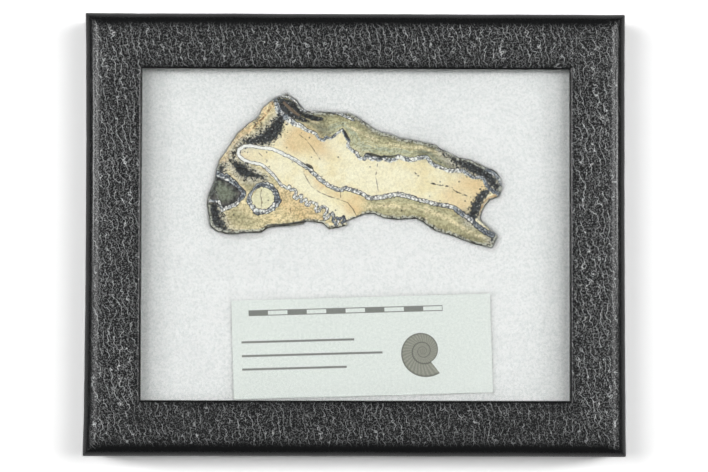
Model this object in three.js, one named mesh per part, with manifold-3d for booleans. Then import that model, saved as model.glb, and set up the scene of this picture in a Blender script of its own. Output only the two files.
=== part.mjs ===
// A polished slice of a fossil mammoth molar in its glass-fronted display case.
// A paper-wrapped card lid with a window drops over a paper-wrapped card tray. The tray holds a
// pad of polyester batting. The slice and its label lie in the pad, just under the glass.
// Millimetres, +Z up. The origin is the middle of the underside, and +X runs along the long side.

import * as THREE from 'three';
import { mergeVertices } from 'three/addons/utils/BufferGeometryUtils.js';
import Module from 'manifold-3d';

const wasm = await Module();
wasm.setup();

// Driving dimensions of the case: 5 1/2 by 4 1/2 by 3/4 inch outside.
const caseLength = 139.7;
const caseWidth = 114.3;
const caseHeight = 19.05;
const contactGap = 0.3; // between pieces that touch
const slideGap = 0.4; // between the lid's skirt and the tray

// Lid: card wrapped in embossed paper, its skirt hanging around the whole tray.
const skirtWall = 1.6;
const lidBoard = 2.0; // thickness of the framed top
const lidBorder = 14.5; // width of the frame around the window
const lidEdgeRadius = 3.0;
const windowEdgeRadius = 0.9;
const skirtLift = 0.6; // the skirt stops this far above the surface the tray stands on
const verticalCornerCut = 0.5;
const foldCut = 0.1; // the smallest corner cut, where two wrapped faces meet in a mitre
const skirtHemRadius = 0.4;

// Glass pane, held between the lid's frame and the tray's rim.
const glassThickness = 2.0;
const glassArris = 0.2;

// Tray.
const trayWall = 1.6;
const trayFloor = 1.6;
const trayEdgeRadius = 0.8;

// Batting: a springy pad that fills the tray.
const padShoulder = 5.5; // how far in from the tray's wall the pad is rounded
const padShoulderDrop = 2.6;

// Molar slice.
const sliceThickness = 6.4;
const sliceCentre = { x: 0, y: 16.6 };
const wallWander = 0.35; // how far the broken side strays from straight down
const pocketMargin = wallWander + contactGap;

// Label: a plain 2 5/8 by 1 inch slip.
const labelLength = 66.7;
const labelWidth = 25.4;
const labelThickness = 0.25;
const labelCentre = { x: 1.9, y: -28.85 };
const labelTurn = THREE.MathUtils.degToRad(1.7);

// Heights, worked down from the top.
const glassTop = caseHeight - lidBoard - contactGap;
const glassUnderside = glassTop - glassThickness;
const contentsTop = glassUnderside - contactGap; // the tray's rim, the slice and the label
const padTop = contentsTop - 0.1;
const sliceUnderside = contentsTop - sliceThickness;
const trayInset = skirtWall + slideGap;
const padInset = trayInset + trayWall + contactGap;

// The slice's broken outline, anticlockwise from the top peak, about the slice's own centre.
const sliceOutline = [
  [-17.8, 19.7], [-20.5, 18.7], [-21.8, 17.8], [-23.9, 16.0], [-25.1, 13.6], [-27.6, 11.9],
  [-30.3, 9.5], [-31.8, 7.3], [-33.5, 4.5], [-35.0, 2.5], [-35.8, -0.1], [-36.1, -2.5],
  [-37.8, -6.6], [-38.1, -8.8], [-37.5, -12.7], [-37.2, -14.6], [-35.5, -15.7], [-33.6, -16.2],
  [-30.9, -16.5], [-28.9, -16.0], [-24.3, -16.0], [-22.5, -14.7], [-19.3, -14.4], [-16.7, -14.3],
  [-13.4, -13.8], [-12.6, -13.0], [-8.3, -13.6], [-7.2, -14.5], [-6.6, -15.1], [-4.3, -14.7],
  [-1.9, -14.1], [-2.5, -13.2], [-1.0, -12.5], [2.4, -11.2], [4.6, -11.0], [7.7, -12.2],
  [11.1, -12.6], [15.8, -12.3], [17.6, -13.2], [20.8, -15.4], [25.9, -17.0], [28.9, -18.2],
  [31.1, -18.9], [35.3, -19.8], [35.9, -18.8], [36.7, -16.8], [34.7, -15.0], [32.9, -13.4],
  [32.2, -12.4], [32.5, -10.8], [33.5, -9.0], [34.7, -7.5], [37.3, -6.5], [38.0, -4.0],
  [37.5, -2.0], [36.5, -0.4], [35.1, 0.4], [33.7, 0.7], [31.9, 1.8], [29.5, 2.8], [26.9, 3.2],
  [25.4, 3.9], [21.8, 5.7], [20.8, 6.6], [16.6, 7.5], [11.4, 8.4], [9.3, 9.3], [7.3, 9.7],
  [4.9, 10.6], [3.3, 11.9], [0.5, 13.7], [-1.5, 14.7], [-8.9, 15.1], [-12.9, 15.3],
  [-14.2, 16.6], [-15.3, 18.2],
].map(([x, y]) => new THREE.Vector2(x, y));

// Rings along a quarter circle in a section: `inset` runs inwards and `z` upwards.
function quarterRound(centreInset, centreZ, radius, startDegrees, steps) {
  const rings = [];
  for (let step = 0; step <= steps; step++) {
    const angle = THREE.MathUtils.degToRad(startDegrees - (90 * step) / steps);
    rings.push({
      inset: centreInset + radius * Math.cos(angle),
      z: centreZ + radius * Math.sin(angle),
    });
  }
  return rings;
}

// A solid lofted through level rectangles with cut corners, from the underside outwards and up.
// A closed one joins its last ring to its first, and any other gets a flat cap at each end.
function ringSolid(rings, closed) {
  const positions = [];
  const faces = [];
  const sides = 8;
  for (const { inset, z } of rings) {
    const halfX = caseLength / 2 - inset;
    const halfY = caseWidth / 2 - inset;
    const cut = Math.max(foldCut, verticalCornerCut - inset / 2);
    positions.push(halfX, cut - halfY, z, halfX, halfY - cut, z, halfX - cut, halfY, z);
    positions.push(cut - halfX, halfY, z, -halfX, halfY - cut, z, -halfX, cut - halfY, z);
    positions.push(cut - halfX, -halfY, z, halfX - cut, -halfY, z);
  }
  const spans = closed ? rings.length : rings.length - 1;
  for (let span = 0; span < spans; span++) {
    const lower = span * sides;
    const upper = ((span + 1) % rings.length) * sides;
    for (let side = 0; side < sides; side++) {
      const next = (side + 1) % sides;
      faces.push(lower + side, lower + next, upper + next);
      faces.push(lower + side, upper + next, upper + side);
    }
  }
  if (!closed) {
    const last = (rings.length - 1) * sides;
    for (let side = 1; side < sides - 1; side++) {
      faces.push(0, side + 1, side);
      faces.push(last, last + side, last + side + 1);
    }
  }
  const geometry = new THREE.BufferGeometry();
  geometry.setAttribute('position', new THREE.Float32BufferAttribute(positions, 3));
  geometry.setIndex(faces);
  return geometry;
}

// The outline moved outwards by a distance, corner by corner.
function widened(outline, distance) {
  const count = outline.length;
  return outline.map((point, i) => {
    const before = outline[(i + count - 1) % count];
    const after = outline[(i + 1) % count];
    const along = after.clone().sub(before).normalize();
    return new THREE.Vector2(point.x + along.y * distance, point.y - along.x * distance);
  });
}

// A prism of an outline, from one height to another, in a number of steps.
function prism(outline, lowZ, highZ, steps) {
  const shape = new THREE.Shape(outline);
  const geometry = new THREE.ExtrudeGeometry(shape, {
    depth: highZ - lowZ,
    steps,
    bevelEnabled: false,
  });
  geometry.translate(0, 0, lowZ);
  return geometry;
}

function toManifold(geometry) {
  const bare = geometry.clone();
  bare.deleteAttribute('normal');
  bare.deleteAttribute('uv');
  const merged = mergeVertices(bare, 1e-4);
  return new wasm.Manifold(new wasm.Mesh({
    numProp: 3,
    vertProperties: new Float32Array(merged.attributes.position.array),
    triVerts: new Uint32Array(merged.index.array),
  }));
}

function fromManifold(manifold) {
  const mesh = manifold.getMesh();
  const geometry = new THREE.BufferGeometry();
  geometry.setAttribute('position', new THREE.Float32BufferAttribute(mesh.vertProperties, 3));
  geometry.setIndex(Array.from(mesh.triVerts));
  return geometry;
}

function named(name, geometry, look) {
  const mesh = new THREE.Mesh(geometry, new THREE.MeshStandardMaterial(look));
  mesh.name = name;
  return mesh;
}

// The frame's section runs up the skirt, over the rounded edge, across the border, round the
// window's edge and back down the inside of the skirt.
function makeLid() {
  const hemZ = skirtLift + skirtHemRadius;
  const section = [
    ...quarterRound(skirtHemRadius, hemZ, skirtHemRadius, 270, 2),
    ...quarterRound(lidEdgeRadius, caseHeight - lidEdgeRadius, lidEdgeRadius, 180, 6),
    ...quarterRound(lidBorder - windowEdgeRadius, caseHeight - windowEdgeRadius,
      windowEdgeRadius, 90, 4),
    { inset: lidBorder, z: caseHeight - lidBoard },
    { inset: skirtWall, z: caseHeight - lidBoard },
    { inset: skirtWall, z: skirtLift },
  ];
  return named('lid', ringSolid(section, true), {
    color: 0x26282a,
    roughness: 0.5,
    metalness: 0,
  });
}

function makeGlass() {
  const edge = skirtWall + contactGap;
  const section = [
    { inset: edge + glassArris, z: glassUnderside },
    { inset: edge, z: glassUnderside + glassArris },
    { inset: edge, z: glassTop - glassArris },
    { inset: edge + glassArris, z: glassTop },
  ];
  return named('glass_pane', ringSolid(section, false), {
    color: 0xeaf4f0,
    roughness: 0.02,
    metalness: 0,
    transparent: true,
    opacity: 0.15,
  });
}

function makeTray() {
  const section = [
    ...quarterRound(trayInset + trayEdgeRadius, trayEdgeRadius, trayEdgeRadius, 270, 3),
    { inset: trayInset, z: contentsTop },
    { inset: trayInset + trayWall, z: contentsTop },
    { inset: trayInset + trayWall, z: trayFloor },
  ];
  return named('tray', ringSolid(section, false), {
    color: 0x202123,
    roughness: 0.6,
    metalness: 0,
  });
}

// The pad rises in a soft shoulder to a level top, with a pocket for the slice and a
// shallow dent for the label.
function makeBatting() {
  const floorZ = trayFloor + contactGap;
  const shoulderFoot = padTop - padShoulderDrop;
  const section = [{ inset: padInset, z: floorZ }];
  const steps = 5;
  for (let step = 0; step <= steps; step++) {
    const angle = (Math.PI / 2) * (step / steps);
    section.push({
      inset: padInset + padShoulder * (1 - Math.cos(angle)),
      z: shoulderFoot + padShoulderDrop * Math.sin(angle),
    });
  }
  const above = padTop + 5;
  const pocket = prism(widened(sliceOutline, pocketMargin), sliceUnderside - contactGap, above, 1);
  pocket.translate(sliceCentre.x, sliceCentre.y, 0);
  const dent = new THREE.BoxGeometry(
    labelLength + 2 * contactGap,
    labelWidth + 2 * contactGap,
    above - (contentsTop - labelThickness - contactGap),
  );
  dent.rotateZ(labelTurn);
  dent.translate(labelCentre.x, labelCentre.y,
    (above + contentsTop - labelThickness - contactGap) / 2);
  const pad = toManifold(ringSolid(section, false))
    .subtract(toManifold(pocket))
    .subtract(toManifold(dent));
  return named('batting', fromManifold(pad), {
    color: 0xe6ebe9,
    roughness: 1,
    metalness: 0,
  });
}

// Flat ground faces above and below. Between them the broken side strays in and out.
function makeSlice() {
  const geometry = prism(sliceOutline, 0, sliceThickness, 4);
  const position = geometry.attributes.position;
  for (let i = 0; i < position.count; i++) {
    const x = position.getX(i);
    const y = position.getY(i);
    const depth = 1 - position.getZ(i) / sliceThickness;
    const reach = wallWander * Math.min(1, 2 * depth);
    position.setX(i, x + reach * Math.sin(1.1 * y + 3.7 * depth) * Math.cos(0.5 * x));
    position.setY(i, y + reach * Math.sin(0.9 * x + 2.9 * depth) * Math.cos(0.7 * y));
  }
  const slice = named('molar_slice', geometry, {
    color: 0xd8cda4,
    roughness: 0.25,
    metalness: 0,
  });
  slice.position.set(sliceCentre.x, sliceCentre.y, sliceUnderside);
  return slice;
}

function makeLabel() {
  const label = named('label', new THREE.BoxGeometry(labelLength, labelWidth, labelThickness), {
    color: 0xeceee9,
    roughness: 0.8,
    metalness: 0,
  });
  label.position.set(labelCentre.x, labelCentre.y, contentsTop - labelThickness / 2);
  label.rotation.z = labelTurn;
  return label;
}

const group = new THREE.Group();
group.add(makeTray(), makeBatting(), makeSlice(), makeLabel(), makeGlass(), makeLid());

export default group;
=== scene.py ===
# A fossil mammoth molar slice in its glass-fronted display case: finishes, fibres and light.
import math

import bpy
import numpy as np
from mathutils import Euler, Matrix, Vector, geometry


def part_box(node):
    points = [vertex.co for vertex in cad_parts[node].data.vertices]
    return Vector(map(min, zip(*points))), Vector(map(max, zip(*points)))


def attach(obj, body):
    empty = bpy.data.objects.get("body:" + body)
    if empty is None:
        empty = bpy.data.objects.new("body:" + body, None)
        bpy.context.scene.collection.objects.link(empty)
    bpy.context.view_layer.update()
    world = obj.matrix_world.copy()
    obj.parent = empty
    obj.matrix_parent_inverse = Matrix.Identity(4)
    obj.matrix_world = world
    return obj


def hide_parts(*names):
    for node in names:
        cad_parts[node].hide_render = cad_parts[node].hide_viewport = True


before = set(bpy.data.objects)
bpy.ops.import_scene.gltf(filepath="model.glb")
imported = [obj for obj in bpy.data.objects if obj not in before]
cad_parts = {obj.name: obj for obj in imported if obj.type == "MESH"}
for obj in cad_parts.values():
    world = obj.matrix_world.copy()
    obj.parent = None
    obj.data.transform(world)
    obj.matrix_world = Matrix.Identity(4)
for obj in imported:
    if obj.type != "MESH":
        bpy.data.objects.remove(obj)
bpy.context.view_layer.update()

mm = 0.001
scene = bpy.context.scene


# Small helpers: colours, node trees, meshes

def tone(red, green, blue):
    # a screen colour, 0 to 255, as the linear colour that a node takes
    def linear(value):
        share = value / 255
        return share / 12.92 if share < 0.04 else ((share + 0.055) / 1.055) ** 2.4
    return (linear(red), linear(green), linear(blue), 1.0)


def feed(tree, socket, value):
    if isinstance(value, bpy.types.NodeSocket):
        tree.links.new(value, socket)
    else:
        socket.default_value = value


def addNode(tree, kind, inputs=None, **settings):
    node = tree.nodes.new(kind)
    for name, value in settings.items():
        setattr(node, name, value)
    for name, value in (inputs or {}).items():
        feed(tree, node.inputs[name], value)
    return node


def calc(tree, operation, first, second=0.0, third=0.0):
    inputs = {0: first, 1: second, 2: third}
    return addNode(tree, "ShaderNodeMath", inputs, operation=operation).outputs[0]


def stepUp(tree, value, low, high):
    # 0 below low, 1 above high, smooth between; it falls if low is the larger
    inputs = {"Value": value, "From Min": low, "From Max": high}
    kind = "ShaderNodeMapRange"
    return addNode(tree, kind, inputs, interpolation_type="SMOOTHSTEP").outputs["Result"]


def straightFall(tree, value, reach):
    # 1 at value 0, falling in a straight line to 0 at reach
    inputs = {"Value": value, "From Min": 0.0, "From Max": reach, "To Min": 1.0, "To Max": 0.0}
    return addNode(tree, "ShaderNodeMapRange", inputs).outputs["Result"]


def layer(tree, share, under, over, mode="MIX"):
    inputs = {0: share, 6: under, 7: over}
    return addNode(tree, "ShaderNodeMix", inputs, data_type="RGBA", blend_type=mode).outputs[2]


def layerValue(tree, share, under, over):
    return addNode(tree, "ShaderNodeMix", {0: share, 2: under, 3: over}, data_type="FLOAT").outputs[0]


def axisOf(tree, vector, axis):
    # one part of a vector: 0 rightward, 1 away, 2 upward
    return addNode(tree, "ShaderNodeSeparateXYZ", {"Vector": vector}).outputs[axis]


def upwardShare(tree):
    # 1 on level tops, 0 on walls, -1 underneath
    return axisOf(tree, addNode(tree, "ShaderNodeNewGeometry").outputs["Normal"], 2)


def stretch(tree, vector, scale, turn=0.0, shift=(0, 0, 0)):
    inputs = {"Vector": vector, "Scale": scale, "Rotation": (0, 0, turn), "Location": shift}
    return addNode(tree, "ShaderNodeMapping", inputs).outputs["Vector"]


def noise(tree, vector, scale, detail=2.0, roughness=0.5, output="Fac", **settings):
    inputs = {"Vector": vector, "Scale": scale, "Detail": detail, "Roughness": roughness}
    return addNode(tree, "ShaderNodeTexNoise", inputs, **settings).outputs[output]


def cells(tree, vector, scale, feature="F1"):
    return addNode(tree, "ShaderNodeTexVoronoi", {"Vector": vector, "Scale": scale}, feature=feature)


def colourRamp(tree, value, stops):
    node = addNode(tree, "ShaderNodeValToRGB", {"Fac": value})
    marks = node.color_ramp.elements
    while len(marks) < len(stops):
        marks.new(0.5)
    for mark, (place, colour) in zip(marks, stops):
        mark.position = place
        mark.color = colour
    return node.outputs["Color"]


def readField(tree, name):
    return addNode(tree, "ShaderNodeAttribute", attribute_name=name).outputs["Fac"]


def objectCoords(tree):
    return addNode(tree, "ShaderNodeTexCoord").outputs["Object"]


def newMaterial(name):
    made = bpy.data.materials.new(name)
    made.use_nodes = True
    tree = made.node_tree
    tree.nodes.clear()
    shader = addNode(tree, "ShaderNodeBsdfPrincipled")
    addNode(tree, "ShaderNodeOutputMaterial", {"Surface": shader.outputs[0]})
    return made, tree, shader


def showSurface(tree, surface):
    # what the material shows, in place of its plain shader
    output = next(n for n in tree.nodes if n.type == "OUTPUT_MATERIAL")
    tree.links.new(surface, output.inputs["Surface"])


def newGroup(name, inputs, outputs):
    tree = bpy.data.node_groups.new(name, "ShaderNodeTree")
    for label, kind, value in inputs:
        socket = tree.interface.new_socket(label, in_out="INPUT", socket_type="NodeSocket" + kind)
        if value is not None:
            socket.default_value = value
    for label, kind in outputs:
        tree.interface.new_socket(label, in_out="OUTPUT", socket_type="NodeSocket" + kind)
    source = tree.nodes.new("NodeGroupInput").outputs
    target = tree.nodes.new("NodeGroupOutput").inputs
    return tree, source, target


def useGroup(tree, group, inputs):
    node = tree.nodes.new("ShaderNodeGroup")
    node.node_tree = group
    for name, value in inputs.items():
        feed(tree, node.inputs[name], value)
    return node.outputs


def bump(tree, shader, height, distance):
    inputs = {"Height": height, "Distance": distance, "Strength": 1.0}
    feed(tree, shader.inputs["Normal"], addNode(tree, "ShaderNodeBump", inputs).outputs[0])


def meshObject(name, vertices, faces, material, smooth=True):
    mesh = bpy.data.meshes.new(name)
    mesh.from_pydata(vertices, [], faces)
    mesh.update()
    if smooth:
        mesh.shade_smooth()
    mesh.materials.append(material)
    made = bpy.data.objects.new(name, mesh)
    scene.collection.objects.link(made)
    return made


def writeField(mesh, name, values):
    field = mesh.attributes.new(name, "FLOAT", "POINT")
    field.data.foreach_set("value", np.asarray(values, np.float32))


def softLumps(x, y, wavelength, seed, waves=14):
    # smooth unevenness, about -1 to 1: plane waves in random directions
    chance = np.random.default_rng(seed)
    total = np.zeros_like(x)
    for _ in range(waves):
        turn, phase = chance.uniform(0, 2 * math.pi, 2)
        pitch = 2 * math.pi / (wavelength * chance.uniform(0.6, 1.6))
        total += np.sin((x * math.cos(turn) + y * math.sin(turn)) * pitch + phase)
    return total / math.sqrt(2 * waves)


def easeBetween(value, low, high):
    share = np.clip((value - low) / (high - low), 0, 1)
    return share * share * (3 - 2 * share)


# Plane geometry for outlines, grids, bands and patches, in the units of the points given

def nearestOnCurve(points, curve):
    # for each point: its distance to the curve, the side it is on, and how far along it lies
    start = curve[:-1]
    step = curve[1:] - start
    length = np.hypot(step[:, 0], step[:, 1])
    travelled = np.concatenate([[0], np.cumsum(length)])[:-1]
    away = points[:, None, :] - start[None]
    share = np.clip((away * step).sum(2) / np.maximum(length, 1e-12) ** 2, 0, 1)
    gap = away - share[..., None] * step
    distance = np.hypot(gap[..., 0], gap[..., 1])
    best = distance.argmin(1)
    row = np.arange(len(points))
    side = np.sign(step[best, 0] * away[row, best, 1] - step[best, 1] * away[row, best, 0])
    return distance[row, best], side, travelled[best] + share[row, best] * length[best]


def insideOutline(points, outline):
    x, y = points[:, 0], points[:, 1]
    inside = np.zeros(len(points), bool)
    for (x0, y0), (x1, y1) in zip(outline, np.roll(outline, -1, 0)):
        if y0 != y1:
            crosses = (y0 > y) != (y1 > y)
            inside ^= crosses & (x < (x1 - x0) * (y - y0) / (y1 - y0) + x0)
    return inside


def depthInside(points, outline):
    # distance to the outline, positive inside it
    closed = np.vstack([outline, outline[:1]])
    distance = nearestOnCurve(points, closed)[0]
    return np.where(insideOutline(points, outline), distance, -distance)


def topOutline(node):
    # the outline of a flat-topped CAD node, read from the edges of its top face
    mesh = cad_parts[node].data
    top = max(v.co.z for v in mesh.vertices)
    used = {}
    for face in mesh.polygons:
        corners = [mesh.vertices[i].co for i in face.vertices]
        if all(c.z > top - 0.01 * mm for c in corners):
            keys = [(round(c.x / mm, 4), round(c.y / mm, 4)) for c in corners]
            for a, b in zip(keys, keys[1:] + keys[:1]):
                used[(a, b)] = True
    rim = {a: b for a, b in used if (b, a) not in used}
    start = next(iter(rim))
    outline, here = [start], rim[start]
    while here != start:
        outline.append(here)
        here = rim[here]
    return np.array(outline)


def evenly(outline, step):
    # the same closed outline with a point every step or so, all its corners kept
    points = []
    for a, b in zip(outline, np.roll(outline, -1, 0)):
        count = max(1, round(math.dist(a, b) / step))
        points += [a + (b - a) * k / count for k in range(count)]
    return np.array(points)


def pushedOut(outline, gap):
    ahead = np.roll(outline, -1, 0) - outline
    ahead /= np.maximum(np.hypot(*ahead.T)[:, None], 1e-9)
    turned = ahead + np.roll(ahead, 1, 0)
    turned /= np.maximum(np.hypot(*turned.T)[:, None], 1e-9)
    return outline + gap * np.column_stack([turned[:, 1], -turned[:, 0]])


def triangulate(loops, inner, keep):
    # triangles over closed loops and loose inner points; keep() says which, by their middles
    points = np.vstack([*loops, inner])
    edges, start = [], 0
    for loop in loops:
        count = len(loop)
        edges += [(start + k, start + (k + 1) % count) for k in range(count)]
        start += count
    made = geometry.delaunay_2d_cdt([Vector(p) for p in points.tolist()], edges, [], 0, 1e-7)
    places = np.array([tuple(p) for p in made[0]])
    faces = np.array(made[2])
    middles = places[faces].mean(1)
    return places, faces[keep(middles)]


def hexGrid(low, high, step):
    rows = np.arange(low[1], high[1], step * 0.866)
    columns = np.arange(low[0], high[0], step)
    x, y = np.meshgrid(columns, rows)
    x[::2] += step / 2
    return np.column_stack([x.ravel(), y.ravel()])


sliceOutline = topOutline("molar_slice")  # in millimetres, on the case's plan
print("outline of the slice read:", len(sliceOutline), "points")


# Shader groups shared by several finishes

def makeLeatherGrain():
    # fine pebbles crossed by long wrinkles that wander side by side and break off
    group, source, target = newGroup("leatherGrain", [
        ("Coords", "Vector", None), ("Wrinkle Gap", "Float", 1.7 * mm),
        ("Pebble Size", "Float", 0.6 * mm),
        ("Slant", "Float", 0.2), ("Wrinkles", "Float", 1.0),
    ], [("Height", "Float"), ("Crest", "Float")])
    tree = group

    def sized(width):
        perWidth = calc(tree, "DIVIDE", 1.0, width)
        inputs = {0: turned, "Scale": perWidth}
        return addNode(tree, "ShaderNodeVectorMath", inputs, operation="SCALE").outputs[0]

    def shifted(vector, wander, reach):
        centred = addNode(tree, "ShaderNodeVectorMath", {0: wander, 1: (0.5, 0.5, 0.5)},
                          operation="SUBTRACT").outputs[0]
        return addNode(tree, "ShaderNodeVectorMath", {0: centred, 1: reach, 2: vector},
                       operation="MULTIPLY_ADD").outputs[0]

    def wrinkles(vector, bend, low, high):
        # raised lines one unit apart, bent, and broken where a stretched noise is low
        bent = shifted(vector, noise(tree, vector, bend, 3.0, 0.55, output="Color"), (3.4, 0.6, 0.0))
        bent = shifted(bent, noise(tree, vector, 1.4, 1.0, output="Color"), (0.9, 0.0, 0.0))
        line = straightFall(tree, calc(tree, "PINGPONG", axisOf(tree, bent, 0), 0.5), 0.085)
        lengths = noise(tree, stretch(tree, bent, (1.0, 0.42, 1.0)), 1.3, 2.0, 0.6)
        return calc(tree, "MULTIPLY", line, stepUp(tree, lengths, low, high))

    turned = addNode(tree, "ShaderNodeVectorRotate", {
        "Vector": source["Coords"], "Angle": source["Slant"]}, rotation_type="Z_AXIS").outputs[0]
    wide = sized(source["Wrinkle Gap"])
    close = sized(calc(tree, "MULTIPLY", source["Wrinkle Gap"], 0.6))
    ridge = calc(tree, "MAXIMUM", wrinkles(wide, 0.3, 0.4, 0.5),
                 calc(tree, "MULTIPLY", wrinkles(close, 0.35, 0.46, 0.56), 0.85))
    ridge = calc(tree, "MULTIPLY", ridge, source["Wrinkles"])
    small = sized(source["Pebble Size"])
    pebbled = shifted(small, noise(tree, small, 0.9, 2.0, output="Color"), (1.2, 1.2, 0.0))
    gaps = cells(tree, pebbled, 1.0, "DISTANCE_TO_EDGE").outputs["Distance"]
    beads = stepUp(tree, noise(tree, pebbled, 1.2, 2.0, 0.6), 0.44, 0.6)
    pebble = calc(tree, "MULTIPLY", straightFall(tree, gaps, 0.26), beads)
    raised = calc(tree, "MAXIMUM", ridge, calc(tree, "MULTIPLY", pebble, 0.6))
    feed(tree, target["Height"], raised)
    feed(tree, target["Crest"], calc(tree, "POWER", raised, 1.7))
    return group


def makeFibreMottle():
    # the tangle of a fibre pad: hair-thin streaks in three directions over soft clumps
    group, source, target = newGroup("fibreMottle", [
        ("Coords", "Vector", None), ("Clump Size", "Float", 1.1 * mm),
    ], [("Shade", "Float")])
    tree = group
    perClump = calc(tree, "DIVIDE", 1.0, source["Clump Size"])
    clumps = noise(tree, source["Coords"], perClump, 5.0, 0.7)
    strands = []
    for turn in (0.5, 1.5, 2.6):
        laid = stretch(tree, source["Coords"], (1.0, 0.3, 1.0), turn)
        strands.append(noise(tree, laid, 2200.0, 2.0, 0.6))
    pair = calc(tree, "MAXIMUM", strands[0], strands[1])
    tangle = calc(tree, "MAXIMUM", pair, strands[2])
    shade = calc(tree, "MULTIPLY_ADD", tangle, 0.5, calc(tree, "MULTIPLY", clumps, 0.5))
    feed(tree, target["Shade"], shade)
    return group


leatherGrain = makeLeatherGrain()
fibreMottle = makeFibreMottle()
print("helpers and shared groups ready")


# Lid: card frame wrapped in embossed black paper

lidShape = {
    "border": 14.5 * mm,
    "wall": 1.6 * mm,
    "board": 2.0 * mm,
    "edgeRadius": 4.0 * mm,
    "windowRadius": 0.85 * mm,
    "hemRadius": 0.4 * mm,
    "cornerRadius": 0.4 * mm,  # of the upright corners, shrinking to a sharp fold on top
    "foldRadius": 0.06 * mm,
    "sideSteps": (52, 42),  # spans along the long and the short sides
    "sag": 0.05 * mm,  # unevenness of the wrapped card
    "bow": {"left": 0.46 * mm, "right": 0.2 * mm},  # how far these sides lean in between their corners
    "extra": {"left": 0.58 * mm, "right": 0.28 * mm, "far": 0.25 * mm},  # what these borders are wider by
    "widening": (6 * mm, 13 * mm),  # from the outer edge, where they grow wider
    # how much of the crests' lighter tone, painted sheen with some rubbing, is kept beside the window, on
    # the far and near sides and on the walls, of 1; less of it beside the window and on the far and near
    # sides paints the shade those places get
    "lipSheenAndRubbing": 0.55,
    "farSheenAndRubbing": 0.85,
    "nearSheenAndRubbing": 0.68,
    "wallSheenAndRubbing": 0.45,
    # how deep the grain is left at the outer edge and at the window's lip
    "edgeEmbossed": 0.45,
    "lipEmbossed": 0.12,
    # over what distances the crests' painted sheen with its rubbing, and the embossing, come back from
    # the lip and from the edge
    "lipSheenAndWearReach": (1.4 * mm, 2.8 * mm),
    "edgeSheenAndWearReach": (2.4 * mm, 5 * mm),
    "lipGrain": (1.1 * mm, 2.6 * mm),
    "edgeGrain": (1.5 * mm, 4 * mm),
}

lidFinish = {
    "paper": tone(30, 31, 32),
    # near-white crests: mostly a painted highlight standing in for the lamps' sheen on the grain, with
    # some rubbing
    "sheenAndWornTone": tone(250, 253, 253),
    "wrinkleGap": 1.7 * mm,
    "pebble": 0.54 * mm,
    "slant": -0.2,
    "wrinkles": 1.0,
    "relief": 0.055 * mm,
    "roughness": (0.15, 0.25),
    "gloss": 0.28,
    "coat": 0.28,
    "coatRoughness": 0.15,
    "sheenAndWear": (0.72, 1.62),  # of the crests' painted sheen and wear, where it is least and most
    "fields": True,  # whether the mesh says where the crests' painted sheen and rubbing go, and where it is embossed
}


def makeWrappedPaper(name, finish, coordsFrom):
    material, tree, shader = newMaterial(name)
    coords = coordsFrom(tree)
    grain = useGroup(tree, leatherGrain, {
        "Coords": coords, "Wrinkle Gap": finish["wrinkleGap"], "Pebble Size": finish["pebble"],
        "Slant": finish["slant"], "Wrinkles": finish["wrinkles"]})
    sheenAndRubbing = noise(tree, coords, 90.0, 3.0, 0.6)
    least, most = finish["sheenAndWear"]
    sheenAndWear = calc(tree, "MULTIPLY", grain["Crest"], calc(tree, "MULTIPLY_ADD", sheenAndRubbing, most - least, least))
    upward = upwardShare(tree)
    sheenAndWearPlaces = calc(tree, "MAXIMUM", stepUp(tree, upward, 0.84, 0.97), stepUp(tree, upward, 0.3, 0.1))
    sheenAndWear = calc(tree, "MULTIPLY", sheenAndWear, sheenAndWearPlaces)  # the crests' painted sheen and wear go on flats and walls, not where the paper bends, so the bends stay dark
    height = grain["Height"]
    if finish["fields"]:
        sheenAndWear = calc(tree, "MULTIPLY", sheenAndWear, readField(tree, "sheenAndRubbing"))
        height = calc(tree, "MULTIPLY", height, readField(tree, "embossed"))
    # the crests are painted lighter: a painted highlight with some wear
    colour = layer(tree, sheenAndWear, finish["paper"], finish["sheenAndWornTone"])
    feed(tree, shader.inputs["Base Color"], colour)
    smooth, dull = finish["roughness"]
    rough = calc(tree, "MULTIPLY_ADD", noise(tree, coords, 400.0, 3.0), dull - smooth, smooth)
    feed(tree, shader.inputs["Roughness"], rough)
    shader.inputs["Specular IOR Level"].default_value = finish["gloss"]
    shader.inputs["Coat Weight"].default_value = finish["coat"]
    shader.inputs["Coat Roughness"].default_value = finish["coatRoughness"]
    bump(tree, shader, height, finish["relief"])
    return material


def uvCoords(tree):
    return addNode(tree, "ShaderNodeUVMap", uv_map="wrap").outputs["UV"]


def quarterRound(centreInset, centreZ, radius, startDegrees, steps):
    angles = np.radians(startDegrees - 90 * np.arange(steps + 1) / steps)
    return [(centreInset + radius * math.cos(a), centreZ + radius * math.sin(a)) for a in angles]


def lidSection(low, high):
    # (inset, height) round the frame's section, from the skirt's hem up and over to the window
    s = lidShape
    hemRadius, edge, lip = s["hemRadius"], s["edgeRadius"], s["windowRadius"]
    wallFoot, wallHead = low.z + hemRadius, high.z - edge
    points = quarterRound(hemRadius, wallFoot, hemRadius, 270, 4)
    points += [(0.0, wallFoot + (wallHead - wallFoot) * k / 6) for k in range(1, 6)]
    points += quarterRound(edge, wallHead, edge, 180, 16)
    flat = s["border"] - lip - edge
    points += [(edge + flat * k / 6, high.z) for k in range(1, 6)]
    points += quarterRound(s["border"] - lip, high.z - lip, lip, 90, 8)
    points += [(s["border"], high.z - s["board"]), (s["wall"], high.z - s["board"])]
    points += [(s["wall"], low.z)]
    return points


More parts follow.
